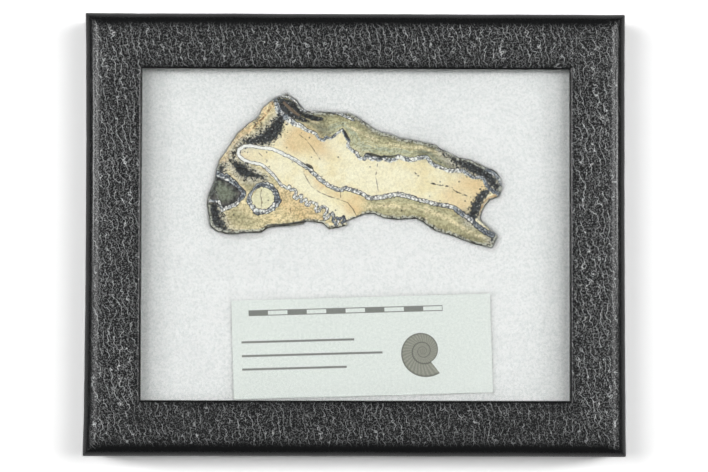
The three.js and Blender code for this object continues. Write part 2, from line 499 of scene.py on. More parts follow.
def ringPath(halfX, halfY, radius, steps):
    # an anticlockwise rectangle with rounded corners: points and the outward side of each span
    corners = [(1, -1), (1, 1), (-1, 1), (-1, -1)]
    normals = [(1, 0), (0, 1), (-1, 0), (0, -1)]
    points, sides = [], []
    for index, (sx, sy) in enumerate(corners):
        centre = np.array([sx * (halfX - radius), sy * (halfY - radius)])
        startTurn = -math.pi / 2 + index * math.pi / 2
        for k in range(5):
            turn = startTurn + k * math.pi / 8
            points.append(centre + radius * np.array([math.cos(turn), math.sin(turn)]))
            sides.append(normals[index - 1] if k < 2 else normals[index])
        nextX, nextY = corners[(index + 1) % 4]
        goal = np.array([nextX * (halfX - radius), nextY * (halfY - radius)])
        goal = goal + radius * np.array(normals[index])
        here = points[-1]
        count = steps[1] if index % 2 == 0 else steps[0]
        for k in range(1, count):
            points.append(here + (goal - here) * k / count)
            sides.append(normals[index])
    return np.array(points), np.array(sides, float)


def markSheenAndWear(lid, section, places, high):
    # the crests' lighter tone, painted sheen with some rubbing, is less beside the window and along the
    # far and near sides, which paints the shade they get
    s = lidShape
    fromEdge, level = np.array(section).T
    count = len(places) // len(section)
    shoulder = high.z - s["edgeRadius"]
    fromLip = np.where(level > shoulder, s["border"] - fromEdge, 9 * mm)
    sheenAndRubbing = s["lipSheenAndRubbing"] + (1 - s["lipSheenAndRubbing"]) * easeBetween(fromLip, *s["lipSheenAndWearReach"])
    sheenAndRubbing = np.repeat(sheenAndRubbing, count)
    x, y = places[:, :2].T
    onLong = easeBetween((np.abs(y) - high.y) - (np.abs(x) - high.x), -2 * mm, 2 * mm)
    # the far and near sides keep less of the crests' painted sheen: painted shade, since the lamps stand
    # to the left and right
    kept = np.where(y > 0, s["farSheenAndRubbing"], s["nearSheenAndRubbing"])
    kept = kept * easeBetween(high.y - np.abs(y), *s["edgeSheenAndWearReach"])
    sheenAndRubbing *= 1 - onLong * (1 - kept)
    onWall = np.repeat(level < shoulder, count)
    writeField(lid.data, "sheenAndRubbing", np.where(onWall, s["wallSheenAndRubbing"], sheenAndRubbing))
    embossed = s["edgeEmbossed"] + (1 - s["edgeEmbossed"]) * easeBetween(fromEdge, *s["edgeGrain"])
    embossed = embossed * easeBetween(fromLip, *s["lipGrain"])
    embossed = np.repeat(s["lipEmbossed"] + (1 - s["lipEmbossed"]) * embossed, count)
    writeField(lid.data, "embossed", np.where(onWall, 1.0, embossed))


def makeLid():
    low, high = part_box("lid")
    s = lidShape
    section = lidSection(low, high)
    halfX, halfY = high.x, high.y
    flatStart = next(i for i, p in enumerate(section) if p[1] >= high.z - 1e-9)
    # paper coordinate: the inset that each ring would have with the wrap laid out flat
    reach = [0.0] * len(section)
    reach[flatStart] = section[flatStart][0]
    for i in range(flatStart + 1, len(section)):
        reach[i] = reach[i - 1] + math.dist(section[i], section[i - 1])
    for i in range(flatStart - 1, -1, -1):
        reach[i] = reach[i + 1] - math.dist(section[i], section[i + 1])
    vertices, uvs = [], []
    for (inset, z), laid in zip(section, reach):
        radius = max(s["foldRadius"], s["cornerRadius"] - 0.4 * inset)
        ring, sides = ringPath(halfX - inset, halfY - inset, radius, s["sideSteps"])
        wider = easeBetween(inset, *s["widening"])
        leftward, rightward = (easeBetween(way * ring[:, 0], 0, halfX - inset) for way in (-1, 1))
        farward = easeBetween(ring[:, 1], 0, halfY - inset)
        ring[:, 0] += wider * (s["extra"]["left"] * leftward - s["extra"]["right"] * rightward)
        ring[:, 1] -= wider * s["extra"]["far"] * farward
        lean = np.where(ring[:, 0] < 0, s["bow"]["left"], s["bow"]["right"])
        lean = lean * (1 - easeBetween(inset, s["edgeRadius"], s["widening"][1]))
        lean = lean * np.cos(np.clip(ring[:, 1] / halfY, -1, 1) * math.pi / 2) ** 0.6
        ring[:, 0] *= 1 - lean / halfX
        sink = s["sag"] * (1 + softLumps(ring[:, 0] + z, ring[:, 1], 9 * mm, 5)) / 2
        onTop = z > high.z - s["edgeRadius"]
        heights = np.full(len(ring), z) - (sink if onTop else 0)
        cornerGap = np.maximum(halfX - inset - np.abs(ring[:, 0]), halfY - inset - np.abs(ring[:, 1]))
        sink = sink * easeBetween(cornerGap, 0.5 * mm, 5 * mm)
        inward = sides * sink[:, None] * (0 if inset > s["edgeRadius"] else 1)
        vertices.append(np.column_stack([ring - inward, heights]))
        uvs.append((ring, laid - inset))
    count = len(vertices[0])
    faces, corners = [], []
    for k in range(len(section)):
        after = (k + 1) % len(section)
        for j in range(count):
            beside = (j + 1) % count
            faces.append((k * count + j, k * count + beside, after * count + beside, after * count + j))
            out = sides[j]
            for ringIndex, pointIndex in ((k, j), (k, beside), (after, beside), (after, j)):
                ring, shift = uvs[ringIndex]
                corners.append(ring[pointIndex] - out * shift)
    material = makeWrappedPaper("embossedBlackPaper", lidFinish, uvCoords)
    lid = meshObject("lid_wrapped", np.vstack(vertices).tolist(), faces, material)
    layerUv = lid.data.uv_layers.new(name="wrap")
    layerUv.data.foreach_set("uv", np.array(corners, np.float32).ravel())
    lid.data.set_sharp_from_angle(angle=math.radians(32))
    markSheenAndWear(lid, section, np.vstack(vertices), high)
    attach(lid, "root")
    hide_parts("lid")
    return lid


lid = makeLid()
print("lid made")


# Tray: smooth black paper over card

trayFinish = {
    "paper": tone(36, 37, 39),
    # the crests' lighter tone: a faint painted sheen with some wear, as on the lid
    "sheenAndWornTone": tone(62, 63, 65),
    "wrinkleGap": 1.4 * mm,
    "pebble": 0.5 * mm,
    "slant": 0.0,
    "wrinkles": 0.15,
    "relief": 0.03 * mm,
    "roughness": (0.55, 0.75),
    "gloss": 0.5,
    "coat": 0.0,
    "coatRoughness": 0.15,
    "sheenAndWear": (0.72, 1.62),
    "fields": False,
}


def dressTray():
    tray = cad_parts["tray"]
    tray.data.materials.clear()
    tray.data.materials.append(makeWrappedPaper("smoothBlackPaper", trayFinish, objectCoords))


dressTray()


# Glass pane

glassLook = {
    "tint": (0.985, 0.99, 0.985, 1.0),
    "passed": (0.93, 0.935, 0.93, 1.0),  # what the lamps' light keeps on its way through
    "ior": 1.52,
    "roughness": (0.0, 0.03),
}


def dressGlass():
    material, tree, shader = newMaterial("pictureGlass")
    shader.inputs["Base Color"].default_value = glassLook["tint"]
    shader.inputs["Transmission Weight"].default_value = 1.0
    shader.inputs["IOR"].default_value = glassLook["ior"]
    clean, smeared = glassLook["roughness"]
    smear = stepUp(tree, noise(tree, objectCoords(tree), 35.0, 3.0), 0.5, 0.8)
    rough = calc(tree, "MULTIPLY_ADD", smear, smeared - clean, clean)
    feed(tree, shader.inputs["Roughness"], rough)
    clear = addNode(tree, "ShaderNodeBsdfTransparent", {"Color": glassLook["passed"]}).outputs[0]
    shadowRay = addNode(tree, "ShaderNodeLightPath").outputs["Is Shadow Ray"]
    mixed = addNode(tree, "ShaderNodeMixShader", {0: shadowRay, 1: shader.outputs[0], 2: clear})
    showSurface(tree, mixed.outputs[0])
    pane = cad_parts["glass_pane"]
    pane.data.materials.clear()
    pane.data.materials.append(material)


dressGlass()
print("tray and glass finished")


# Batting: a soft white pad, pressed flat by the glass

battingShape = {
    "inset": 0.15 * mm,
    "gridStep": 0.62 * mm,
    "spans": (1.4, 0.5),  # along the sides and round the pocket, in millimetres
    "shoulder": 5.5 * mm,
    "edgeFall": (0.2 * mm, 27 * mm),  # how far it falls towards the frame, and from where
    "sliceFall": (0.3 * mm, 10 * mm),
    "paintedShadeReach": 36 * mm,  # painted shade on the pad reaches out to here from the case's sides, where the frame shades it
    "shoulderDrop": 2.6 * mm,
    "lump": 0.09 * mm,  # height of the soft unevenness on top
    "tuft": 0.035 * mm,
    "pocketGap": 0.12 * mm,
    "pocketRoll": 1.4 * mm,  # how far the pad curls down towards the slice
    "pocketSink": 0.35 * mm,
    "labelSink": 0.25 * mm,
    # beside the slice: x, y and reach in millimetres, and depth
    "dents": [(-29.0, -1.2, 7.0, 1.6 * mm), (36.0, -2.0, 3.0, 0.6 * mm)],
}

battingLook = {
    "light": tone(254, 255, 255),
    "shadow": tone(200, 207, 206),
    "relief": 0.12 * mm,
    "roughness": 0.95,
    "scatter": 2.5 * mm,  # how far light spreads inside the pad
    # how much of the shadow tone is in the clumps, the tufts and, as painted shade, near the case's sides
    # and the slice, less the bias
    "clumps": 0.22,
    "tufts": 0.42,
    "paintedShadeStrength": 0.1,
    "bias": 0.2,
}


def makeBattingMaterial():
    look = battingLook
    material, tree, shader = newMaterial("whiteBatting")
    coords = objectCoords(tree)
    mottle = useGroup(tree, fibreMottle, {"Coords": coords})
    tuft = stepUp(tree, noise(tree, coords, 1500.0, 2.0, 0.7), 0.6, 0.4)
    grey = calc(tree, "MULTIPLY", tuft, look["tufts"])
    grey = calc(tree, "MULTIPLY_ADD", stepUp(tree, mottle["Shade"], 0.62, 0.42), look["clumps"], grey)
    # painted shade near the case's sides and beside the slice
    grey = calc(tree, "MULTIPLY_ADD", readField(tree, "paintedShade"), look["paintedShadeStrength"], grey)
    grey = calc(tree, "SUBTRACT", grey, look["bias"])
    feed(tree, shader.inputs["Base Color"], layer(tree, grey, look["light"], look["shadow"]))
    shader.inputs["Roughness"].default_value = look["roughness"]
    shader.inputs["Subsurface Weight"].default_value = 1.0
    shader.inputs["Subsurface Radius"].default_value = (1.0, 1.0, 1.0)
    shader.inputs["Subsurface Scale"].default_value = look["scatter"]
    bump(tree, shader, mottle["Shade"], look["relief"])
    return material


def makeBatting():
    s = battingShape
    low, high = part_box("batting")
    sideSpan, pocketSpan = s["spans"]
    half = np.array([high.x - s["inset"], high.y - s["inset"]]) / mm
    border = evenly(np.array([[-1, -1], [1, -1], [1, 1], [-1, 1]]) * half, sideSpan)
    pocket = evenly(pushedOut(sliceOutline, s["pocketGap"] / mm), pocketSpan)
    step = s["gridStep"] / mm
    grid = hexGrid(-half + 0.7 * step, half - 0.7 * step, step)
    chance = np.random.default_rng(3)
    grid = grid + chance.uniform(-0.22, 0.22, grid.shape) * step
    grid = grid[(np.abs(grid) < half - 0.3 * step).all(1)]
    grid = grid[depthInside(grid, pocket) < -0.4 * step]
    places, faces = triangulate([border, pocket], grid, lambda m: ~insideOutline(m, pocket))
    x, y = places[:, 0] * mm, places[:, 1] * mm
    sideGap = np.minimum(high.x - np.abs(x), high.y - np.abs(y))
    shoulder = 1 - easeBetween(sideGap, 0, s["shoulder"])
    lumps = s["lump"] * softLumps(x, y, 11 * mm, 21) + s["tuft"] * softLumps(x, y, 2.6 * mm, 22)
    lumps += 0.5 * s["tuft"] * softLumps(x, y, 1.3 * mm, 23, 22)
    sliceGap = -depthInside(places, pocket) * mm
    roll = (1 - easeBetween(sliceGap, 0, s["pocketRoll"])) * s["pocketSink"]
    for dentX, dentY, reach, depth in s["dents"]:
        away = ((places - (dentX, dentY)) ** 2).sum(1) / reach ** 2
        roll += depth * np.exp(-away) * (1 - easeBetween(sliceGap, 0, 1.5 * s["pocketRoll"]))
    boxLow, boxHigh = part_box("label")
    besideLabel = np.maximum(boxLow.x - x, x - boxHigh.x)
    labelGap = np.maximum(besideLabel, np.maximum(boxLow.y - y, y - boxHigh.y))
    press = (1 - easeBetween(labelGap, -0.6 * mm, 1.2 * mm)) * s["labelSink"]
    edgeDepth, edgeReach = s["edgeFall"]
    sliceDepth, sliceReach = s["sliceFall"]
    fall = edgeDepth * (1 - easeBetween(sideGap, 8 * mm, edgeReach))
    besideSlice = 1 - easeBetween(sliceGap, 0, sliceReach)
    fall += sliceDepth * besideSlice * (0.6 + 0.4 * softLumps(x, y, 30 * mm, 24))
    # painted shade: darker towards the case's sides, where the frame shades the pad, and beside the slice
    paintedShade = 1 - easeBetween(sideGap, 12 * mm, s["paintedShadeReach"]) + 0.35 * besideSlice
    paintedShade = np.clip(paintedShade + 0.12 * lumps / s["lump"], 0, 1)
    top = high.z - 0.1 * mm - shoulder ** 2 * s["shoulderDrop"] - fall
    heights = np.minimum(top + lumps - roll - press, high.z)
    heights = np.where(labelGap < 0.3 * mm, np.minimum(heights, boxLow.z - 0.05 * mm), heights)
    count = len(places)
    faces = faces.tolist()
    vertices = np.column_stack([x, y, heights]).tolist()

    # walls: the outer sides, bulging a little, and the pocket's, with the pad's floor between
    def wall(ring, zLevels, outward):
        previous = ring
        for z, push in zLevels:
            start = len(vertices)
            for k in ring:
                px, py, _ = vertices[k]
                vertices.append((px + outward * math.copysign(push, px) * (abs(px) > abs(py) * 1.22),
                                 py + outward * math.copysign(push, py) * (abs(px) <= abs(py) * 1.22), z))
            fresh = list(range(start, start + len(ring)))
            n = len(ring)
            for k in range(n):
                a, b = previous[k], previous[(k + 1) % n]
                faces.append((a, fresh[k], fresh[(k + 1) % n], b))
            previous = fresh
        return previous

    outer = list(range(len(border)))
    inner = list(range(len(border), len(border) + len(pocket)))
    sideLevels = [(low.z + (high.z - low.z) * t, 0.1 * mm) for t in (0.72, 0.5, 0.28)]
    outerFoot = wall(outer, sideLevels + [(low.z, 0.0)], 1)
    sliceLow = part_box("molar_slice")[0]
    floorRing = wall(inner, [(sliceLow.z + 2 * mm, 0.0), (sliceLow.z - 0.1 * mm, 0.0)], 0)
    floorPlaces, floorFaces = triangulate(
        [pocket], hexGrid(pocket.min(0), pocket.max(0), 3.0), lambda m: insideOutline(m, pocket))
    floorIndex = {}
    for k, (px, py) in enumerate(floorPlaces):
        if k < len(pocket):
            floorIndex[k] = floorRing[k]
        else:
            floorIndex[k] = len(vertices)
            vertices.append((px * mm, py * mm, sliceLow.z - 0.1 * mm))
    faces += [[floorIndex[i] for i in face] for face in floorFaces.tolist()]
    faces.append(outerFoot[::-1])
    made = meshObject("batting_pad", vertices, faces, makeBattingMaterial())
    bare = (sliceGap > 0.5 * mm) & (labelGap > 0.4 * mm) & (sideGap > 6 * mm)
    writeField(made.data, "bare", np.concatenate([bare, np.zeros(len(vertices) - count)]))
    writeField(made.data, "paintedShade", np.concatenate([paintedShade, np.zeros(len(vertices) - count)]))
    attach(made, "root")
    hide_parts("batting")
    return made


fibreShape = {
    "perSquareMetre": 0.5e6,
    "thickness": 0.036 * mm,
    "radius": 4.0 * mm,
    "sweep": math.radians(80),
    "sizes": (0.45, 1.5),
    "lift": (0.04 * mm, 0.22 * mm),
    "tilt": math.radians(1.2),
    "seed": 7,
    "colour": tone(252, 254, 254),
    "dullColour": tone(236, 240, 240),
    "roughness": 0.6,
}


def makeFibreMaterial():
    s = fibreShape
    material, tree, shader = newMaterial("battingFibre")
    strand = noise(tree, objectCoords(tree), 700.0, 2.0)
    feed(tree, shader.inputs["Base Color"], layer(tree, strand, s["dullColour"], s["colour"]))
    shader.inputs["Roughness"].default_value = s["roughness"]
    return material


def scatterFibres(pad):
    # loose fibres lying on the pad's bare top, built by nodes and made into a plain mesh
    s = fibreShape
    tree = bpy.data.node_groups.new("looseFibres", "GeometryNodeTree")
    # the geometry comes in first, or the modifier makes nothing
    tree.interface.new_socket("Geometry", in_out="INPUT", socket_type="NodeSocketGeometry")
    knobs = {
        "Density": s["perSquareMetre"], "Thickness": s["thickness"], "Bend Radius": s["radius"],
        "Sweep": s["sweep"], "Tilt": s["tilt"], "Seed": s["seed"]}
    for label, value in knobs.items():
        kind = "NodeSocketInt" if isinstance(value, int) else "NodeSocketFloat"
        tree.interface.new_socket(label, in_out="INPUT", socket_type=kind).default_value = value
    tree.interface.new_socket("Geometry", in_out="OUTPUT", socket_type="NodeSocketGeometry")
    source = tree.nodes.new("NodeGroupInput").outputs
    bare = addNode(tree, "GeometryNodeInputNamedAttribute", {"Name": "bare"})
    bare.data_type = "FLOAT"
    amount = calc(tree, "MULTIPLY", bare.outputs["Attribute"], source["Density"])
    points = addNode(tree, "GeometryNodeDistributePointsOnFaces", {
        "Mesh": source["Geometry"], "Density": amount, "Seed": source["Seed"]})
    arc = addNode(tree, "GeometryNodeCurveArc", {
        "Resolution": 7, "Radius": source["Bend Radius"], "Sweep Angle": source["Sweep"]})
    centred = addNode(tree, "GeometryNodeTransform", {
        "Geometry": arc.outputs["Curve"], "Translation": (-s["radius"] * 0.8, -s["radius"] * 0.5, 0)})
    profile = addNode(tree, "GeometryNodeCurvePrimitiveCircle", {
        "Resolution": 3, "Radius": calc(tree, "MULTIPLY", source["Thickness"], 0.5)})
    tube = addNode(tree, "GeometryNodeCurveToMesh", {
        "Curve": centred.outputs[0], "Profile Curve": profile.outputs["Curve"]})

    def randomFloat(low, high, seed):
        node = addNode(tree, "FunctionNodeRandomValue", data_type="FLOAT")
        for socket in node.inputs:
            if socket.identifier == "Min_001":
                feed(tree, socket, low)
            elif socket.identifier == "Max_001":
                feed(tree, socket, high)
            elif socket.name == "Seed":
                feed(tree, socket, seed)
        return next(o for o in node.outputs if o.enabled)

    tiltLow = calc(tree, "MULTIPLY", source["Tilt"], -1.0)
    turn = addNode(tree, "ShaderNodeCombineXYZ", {
        0: randomFloat(tiltLow, source["Tilt"], 11), 1: randomFloat(tiltLow, source["Tilt"], 12),
        2: randomFloat(0.0, 2 * math.pi, 13)}).outputs[0]
    size = randomFloat(*s["sizes"], 14)
    scale = addNode(tree, "ShaderNodeCombineXYZ", {0: size, 1: size, 2: 1.0}).outputs[0]
    placed = addNode(tree, "GeometryNodeInstanceOnPoints", {
        "Points": points.outputs["Points"], "Instance": tube.outputs[0],
        "Rotation": turn, "Scale": scale})
    lift = addNode(tree, "ShaderNodeCombineXYZ", {2: randomFloat(*s["lift"], 15)}).outputs[0]
    lifted = addNode(tree, "GeometryNodeTranslateInstances", {
        "Instances": placed.outputs[0], "Translation": lift, "Local Space": False})
    solid = addNode(tree, "GeometryNodeRealizeInstances", {"Geometry": lifted.outputs[0]})
    material = makeFibreMaterial()
    inputs = {"Geometry": solid.outputs[0], "Material": material}
    painted = addNode(tree, "GeometryNodeSetMaterial", inputs)
    addNode(tree, "NodeGroupOutput", {"Geometry": painted.outputs[0]})
    carrier = bpy.data.objects.new("carrier", pad.data.copy())
    scene.collection.objects.link(carrier)
    modifier = carrier.modifiers.new("fibres", "NODES")
    modifier.node_group = tree
    for item in tree.interface.items_tree:
        if item.name in knobs:
            modifier[item.identifier] = knobs[item.name]
    evaluated = carrier.evaluated_get(bpy.context.evaluated_depsgraph_get())
    mesh = bpy.data.meshes.new_from_object(evaluated)
    bpy.data.objects.remove(carrier)
    # no fibre rises into the glass
    places = np.empty(len(mesh.vertices) * 3, np.float32)
    mesh.vertices.foreach_get("co", places)
    places = places.reshape(-1, 3)
    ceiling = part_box("glass_pane")[0].z - 0.03 * mm
    places[:, 2] = np.minimum(places[:, 2], ceiling)
    mesh.vertices.foreach_set("co", places.ravel())
    mesh.materials.clear()
    mesh.materials.append(material)
    mesh.polygons.foreach_set("material_index", np.zeros(len(mesh.polygons), np.int32))
    fibres = bpy.data.objects.new("batting_fibres", mesh)
    scene.collection.objects.link(fibres)
    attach(fibres, "root")
    return fibres


batting = makeBatting()
print("batting made:", len(batting.data.polygons), "faces")
fibres = scatterFibres(batting)
print("loose fibres made:", len(fibres.data.polygons), "faces")


# Molar slice: a polished section through folded enamel, dentine and cement
# Places are in millimetres from the middle of the slice. In the lists of lines a point may carry
# a half width and a shade, 0 white to 1 slate, which hold until the next point that has them.

sliceShape = {
    "middle": (0.0, 16.6),  # on the case's plan
    "gridStep": 0.27,
    "rimStep": 0.3,
    "rimJitter": 0.11,
    "topWave": 0.04 * mm,
    "wallLevels": (0.03, 0.1, 0.25, 0.45, 0.65, 0.85, 1.0),
    "wallRough": 0.22,
    "wallSwell": 0.25,
    "undercut": 0.18,
    "lift": 0.02 * mm,  # of its back above the solid's
}

enamel = {
    "upper": [
        (-20.7, 18.4, 0.6, 0.75), (-19.7, 15.4, 0.75, 0.65), (-17.7, 13.7, 0.75, 0.55),
        (-16.1, 12.4, 0.7, 0.45), (-14.1, 11.4, 0.6, 0.2), (-12.8, 10.5, 0.5, 0.3),
        (-11.2, 9.9, 0.4, 0.5), (-10.1, 9.3), (-9.5, 8.2, 0.36, 0.75), (-8.1, 7.6), (-7.5, 8.6),
        (-6.2, 8.2, 0.34, 0.6), (-5.4, 9.0, 0.34, 0.5), (-4.3, 9.8), (-3.3, 10.6, 0.3, 0.6),
        (-2.5, 9.2, 0.45, 0.9), (-1.7, 7.6, 0.45, 0.7), (-1.9, 6.5, 0.4, 0.4), (-1.1, 5.3),
        (0.4, 4.4, 0.45, 0.5), (1.1, 3.1), (2.4, 2.9), (3.0, 3.8, 0.6, 0.65), (4.6, 3.1),
        (6.4, 2.9), (7.5, 3.4), (8.6, 2.5), (10.4, 2.9, 0.55, 0.4), (11.1, 3.6), (12.6, 3.1),
        (14.2, 2.7), (15.8, 3.1), (18.4, 3.6, 0.5, 0.4), (19.2, 2.5), (20.8, 1.2), (22.6, 0.6),
        (24.2, 0.0), (27.9, 0.0), (28.9, -0.8), (30.5, -1.8, 0.45, 0.6), (33.1, -1.7),
        (33.7, -3.3, 0.5, 0.85), (34.9, -4.9), (36.3, -5.6), (37.6, -6.3)],
    "middle": [
        (-30.0, 5.3, 0.45, 0.0), (-28.7, 6.1), (-26.7, 6.2), (-24.1, 5.7), (-21.4, 5.5, 0.45, 0.0),
        (-19.4, 4.6), (-17.5, 3.7, 0.48, 0.1), (-15.8, 2.8), (-14.1, 1.7, 0.5, 0.2), (-12.9, 0.9),
        (-11.8, 0.2, 0.5, 0.55), (-10.7, -0.8, 0.55, 0.3), (-8.9, -2.5), (-7.0, -3.9), (-5.2, -4.8),
        (-3.8, -5.1), (-2.3, -4.7), (-0.5, -5.2, 0.55, 0.3), (1.3, -5.8), (2.8, -6.8), (3.7, -7.2),
        (5.7, -7.1, 0.6, 0.15), (7.7, -6.8), (9.5, -6.4, 0.6, 0.25), (11.1, -6.2), (13.0, -6.5),
        (15.0, -7.1, 0.55, 0.3), (17.0, -7.7), (18.8, -8.2), (21.0, -8.7), (23.4, -9.1, 0.6, 0.4),
        (25.4, -9.5), (26.7, -10.6, 0.65, 0.65), (27.9, -11.4), (29.7, -12.4),
        (31.3, -14.0, 0.7, 0.95), (32.9, -15.4), (35.4, -16.6)],
    "lower": [
        (-30.0, 5.3, 0.45, 0.0), (-30.1, 3.7), (-28.6, 2.5), (-26.9, 1.95, 0.42, 0.0),
        (-25.3, 1.65), (-23.9, 1.25), (-23.0, 0.45, 0.42, 0.15), (-21.55, -0.85), (-20.6, -1.85),
        (-19.75, -3.0, 0.4, 0.25)],
    "crimp": [
        (-19.75, -3.0, 0.4, 0.25), (-19.3, -3.7), (-18.3, -4.3), (-17.5, -4.8), (-17.0, -4.2),
        (-16.6, -5.2), (-16.0, -5.0), (-15.4, -5.1), (-15.2, -5.7), (-15.4, -6.4), (-15.8, -7.0),
        (-15.2, -7.4), (-14.6, -7.0), (-13.8, -6.6), (-13.9, -7.5), (-13.9, -8.2, 0.38, 0.35),
        (-13.3, -7.8), (-12.7, -7.4), (-12.5, -8.2), (-12.7, -9.0), (-12.0, -9.1), (-11.6, -8.4),
        (-10.9, -8.3), (-10.0, -8.7), (-9.7, -9.4), (-10.2, -10.0), (-9.9, -10.8, 0.4, 0.5),
        (-9.2, -10.5), (-8.8, -9.6), (-8.0, -9.4), (-7.2, -10.0), (-7.3, -10.8), (-8.0, -11.9),
        (-7.8, -12.7), (-7.1, -12.4), (-6.6, -11.6), (-5.8, -11.1, 0.4, 0.65), (-5.4, -12.1),
        (-5.7, -13.0), (-4.8, -14.1), (-4.3, -13.2), (-4.6, -12.4), (-3.9, -12.6, 0.4, 0.9),
        (-3.0, -12.1), (-2.5, -13.0), (-3.3, -13.6)],
    "hornBar": [
        (-36.2, -0.9, 0.8, 0.9), (-34.6, -1.5, 0.9, 0.75), (-33.1, -2.0), (-31.3, -3.3, 0.7, 0.7),
        (-30.1, -4.4, 0.6, 0.7), (-28.9, -5.6, 0.6, 0.8), (-28.7, -6.4), (-29.4, -7.2),
        (-30.1, -8.2, 0.55, 0.5), (-30.9, -9.0), (-32.0, -9.4), (-33.1, -9.8),
        (-34.4, -10.5, 0.45, 0.45)],
    "hornEdge": [(-37.4, -8.0, 0.4, 0.4), (-35.1, -8.1), (-34.7, -9.3), (-34.1, -10.5)],
    "hornInner": [(-37.0, -4.7, 0.1, 0.3), (-35.8, -5.8), (-35.3, -7.7), (-34.8, -8.4)],
    "peakSpeckle": [
        (-14.0, 15.6, 0.4, 0.5), (-11.0, 15.3, 0.5, 0.05), (-7.5, 15.6, 0.5, 0.15),
        (-4.6, 14.9, 0.45, 0.3), (-2.4, 13.9, 0.4, 0.5), (-0.4, 13.0)],
    "peakOuter": [
        (-19.9, 19.2, 0.35, 0.5), (-17.3, 18.9, 0.3, 0.3), (-15.1, 17.6), (-13.8, 16.3, 0.25, 0.5)],
    "farOuter": [
        (33.9, 0.3, 0.4, 0.95), (35.6, -0.6, 0.55, 0.6), (37.2, -2.2, 0.5, 0.5),
        (37.9, -3.9, 0.3, 0.7)],
}

enamelLean = {"upper": 1.0}  # 1 for a band with its dark outline on the left of its run only

ring = {
    "middle": (-23.8, -7.3),
    "innerRadius": 2.9,
    "outer": [  # degrees, outer radius, shade
        (-175, 4.2, 0.55), (-150, 4.0, 0.5), (-125, 4.25, 0.5), (-112, 4.75, 0.75), (-98, 4.15, 0.45),
        (-75, 4.1, 0.4), (-50, 4.2, 0.4), (-25, 4.4, 0.5), (-9, 4.9, 0.75), (5, 4.45, 0.7),
        (30, 4.25, 0.7), (60, 4.3, 0.8), (90, 4.3, 0.8), (120, 3.85, 0.75), (145, 3.55, 0.5),
        (165, 3.8, 0.5)],
}

# soft dark stains and lines, each point with its half width
stainLines = {
    "tip": [
        (-18.6, 14.2, 0.7), (-19.4, 12.7, 1.3), (-20.6, 10.6, 1.8), (-22.2, 8.9, 1.9),
        (-24.4, 8.0, 1.15), (-26.6, 7.4, 0.75), (-28.6, 7.0, 0.5), (-30.2, 6.1, 0.1),
        (-31.3, 4.6, 0.0), (-31.6, 3.0, 0.1)],
    "underTip": [
        (-31.6, 2.4, 0.3), (-30.8, 1.4, 1.1), (-29.4, 0.2, 1.5), (-28.2, -0.8, 1.3),
        (-26.8, -1.2, 0.9), (-25.2, -1.6, 0.6), (-23.6, -2.0, 0.1)],
    "leftEdge": [(-33.0, 1.6, -0.2), (-34.6, 0.3, 0.8), (-35.8, -1.2, 1.0)],
    "hornLeft": [
        (-36.6, -9.2, 1.0), (-36.3, -11.6, 1.6), (-35.6, -13.7, 1.5), (-33.4, -16.1, 0.6),
        (-29.5, -17.3, 0.2)],
    "farUpper": [
        (23.0, 4.6, 0.2), (25.5, 3.2, 0.9), (28.4, 1.8, 1.35), (31.2, 0.6, 1.5), (33.9, -1.2, 1.3),
        (35.6, -3.1, 1.0), (37.0, -4.4, 0.6)],
    "farEnd": [
        (30.0, -12.3, 1.1), (31.0, -10.2, 1.3), (31.8, -8.0, 1.25), (33.2, -6.2, 1.0),
        (34.8, -5.2, 0.5)],
    "farTip": [(35.2, -17.2, 0.4), (36.2, -19.0, 0.8)],
}
darkLines = {
    "hornLeft": [(-36.2, -1.2, 0.3), (-37.0, -3.2, 0.65), (-37.4, -5.6, 0.75), (-37.2, -7.4, 0.55)],
    "peak": [
        (-18.6, 18.0, 0.45), (-15.6, 16.6, 0.7), (-14.1, 15.2, 0.8), (-12.6, 14.3, 0.7),
        (-10.4, 13.3, 0.55), (-8.6, 13.2, 0.2)],
    "peakSecond": [
        (-19.5, 18.2, 0.4), (-18.6, 16.2, 0.5), (-16.9, 14.6, 0.5), (-14.6, 13.4, 0.45),
        (-12.0, 12.6, 0.15)],
}

# crisp black lines and blots, each point with its half width
inkLines = {
    "blot": [(-12.5, 1.5, 0.2), (-11.8, 1.0, 0.45), (-11.0, 0.5, 0.2)],
    "upperSeam": [
        (2.9, 4.3, 0.16), (4.1, 4.2, 0.3), (5.4, 3.9, 0.2), (6.6, 3.4, 0.3), (7.9, 3.6, 0.2),
        (9.4, 3.6, 0.18), (10.6, 3.9, 0.08)],
    "toothTip": [(-3.3, 10.7, 0.1), (-2.5, 9.5, 0.32), (-1.6, 7.9, 0.1)],
    "foot": [(-22.6, -14.3, 0.1), (-17.4, -14.0, 0.16), (-14.7, -13.6, 0.22), (-12.8, -13.3, 0.24)],
}

cracks = [
    [(-13.2, -1.0), (-11.4, -4.1), (-9.2, -5.7), (-6.7, -6.8), (-4.3, -7.5), (-1.9, -8.4),
     (-0.5, -10.1), (0.4, -11.9)], [(-3.8, -5.3), (-3.7, -7.1)],
    [(-16.5, -8.8), (-16.7, -10.3), (-16.4, -11.7)],
    [(-24.1, -5.0), (-24.4, -6.6), (-24.0, -8.2), (-24.3, -10.0)],
    [(-24.9, 4.4), (-22.7, 2.5), (-22.9, 2.0)],
    [(-14.5, 9.2), (-12.6, 7.8), (-10.9, 5.6), (-9.1, 2.8)], [(5.8, 1.8), (5.3, -1.5), (6.0, -5.5)],
    [(-33.1, -12.4), (-32.3, -14.3), (-31.3, -16.1)]]
dottedCracks = [
    [(19.0, -3.2), (21.8, -3.7), (24.6, -4.2), (26.5, -5.7), (28.9, -6.6)],
    [(15.2, -0.4), (16.6, -1.7)]]
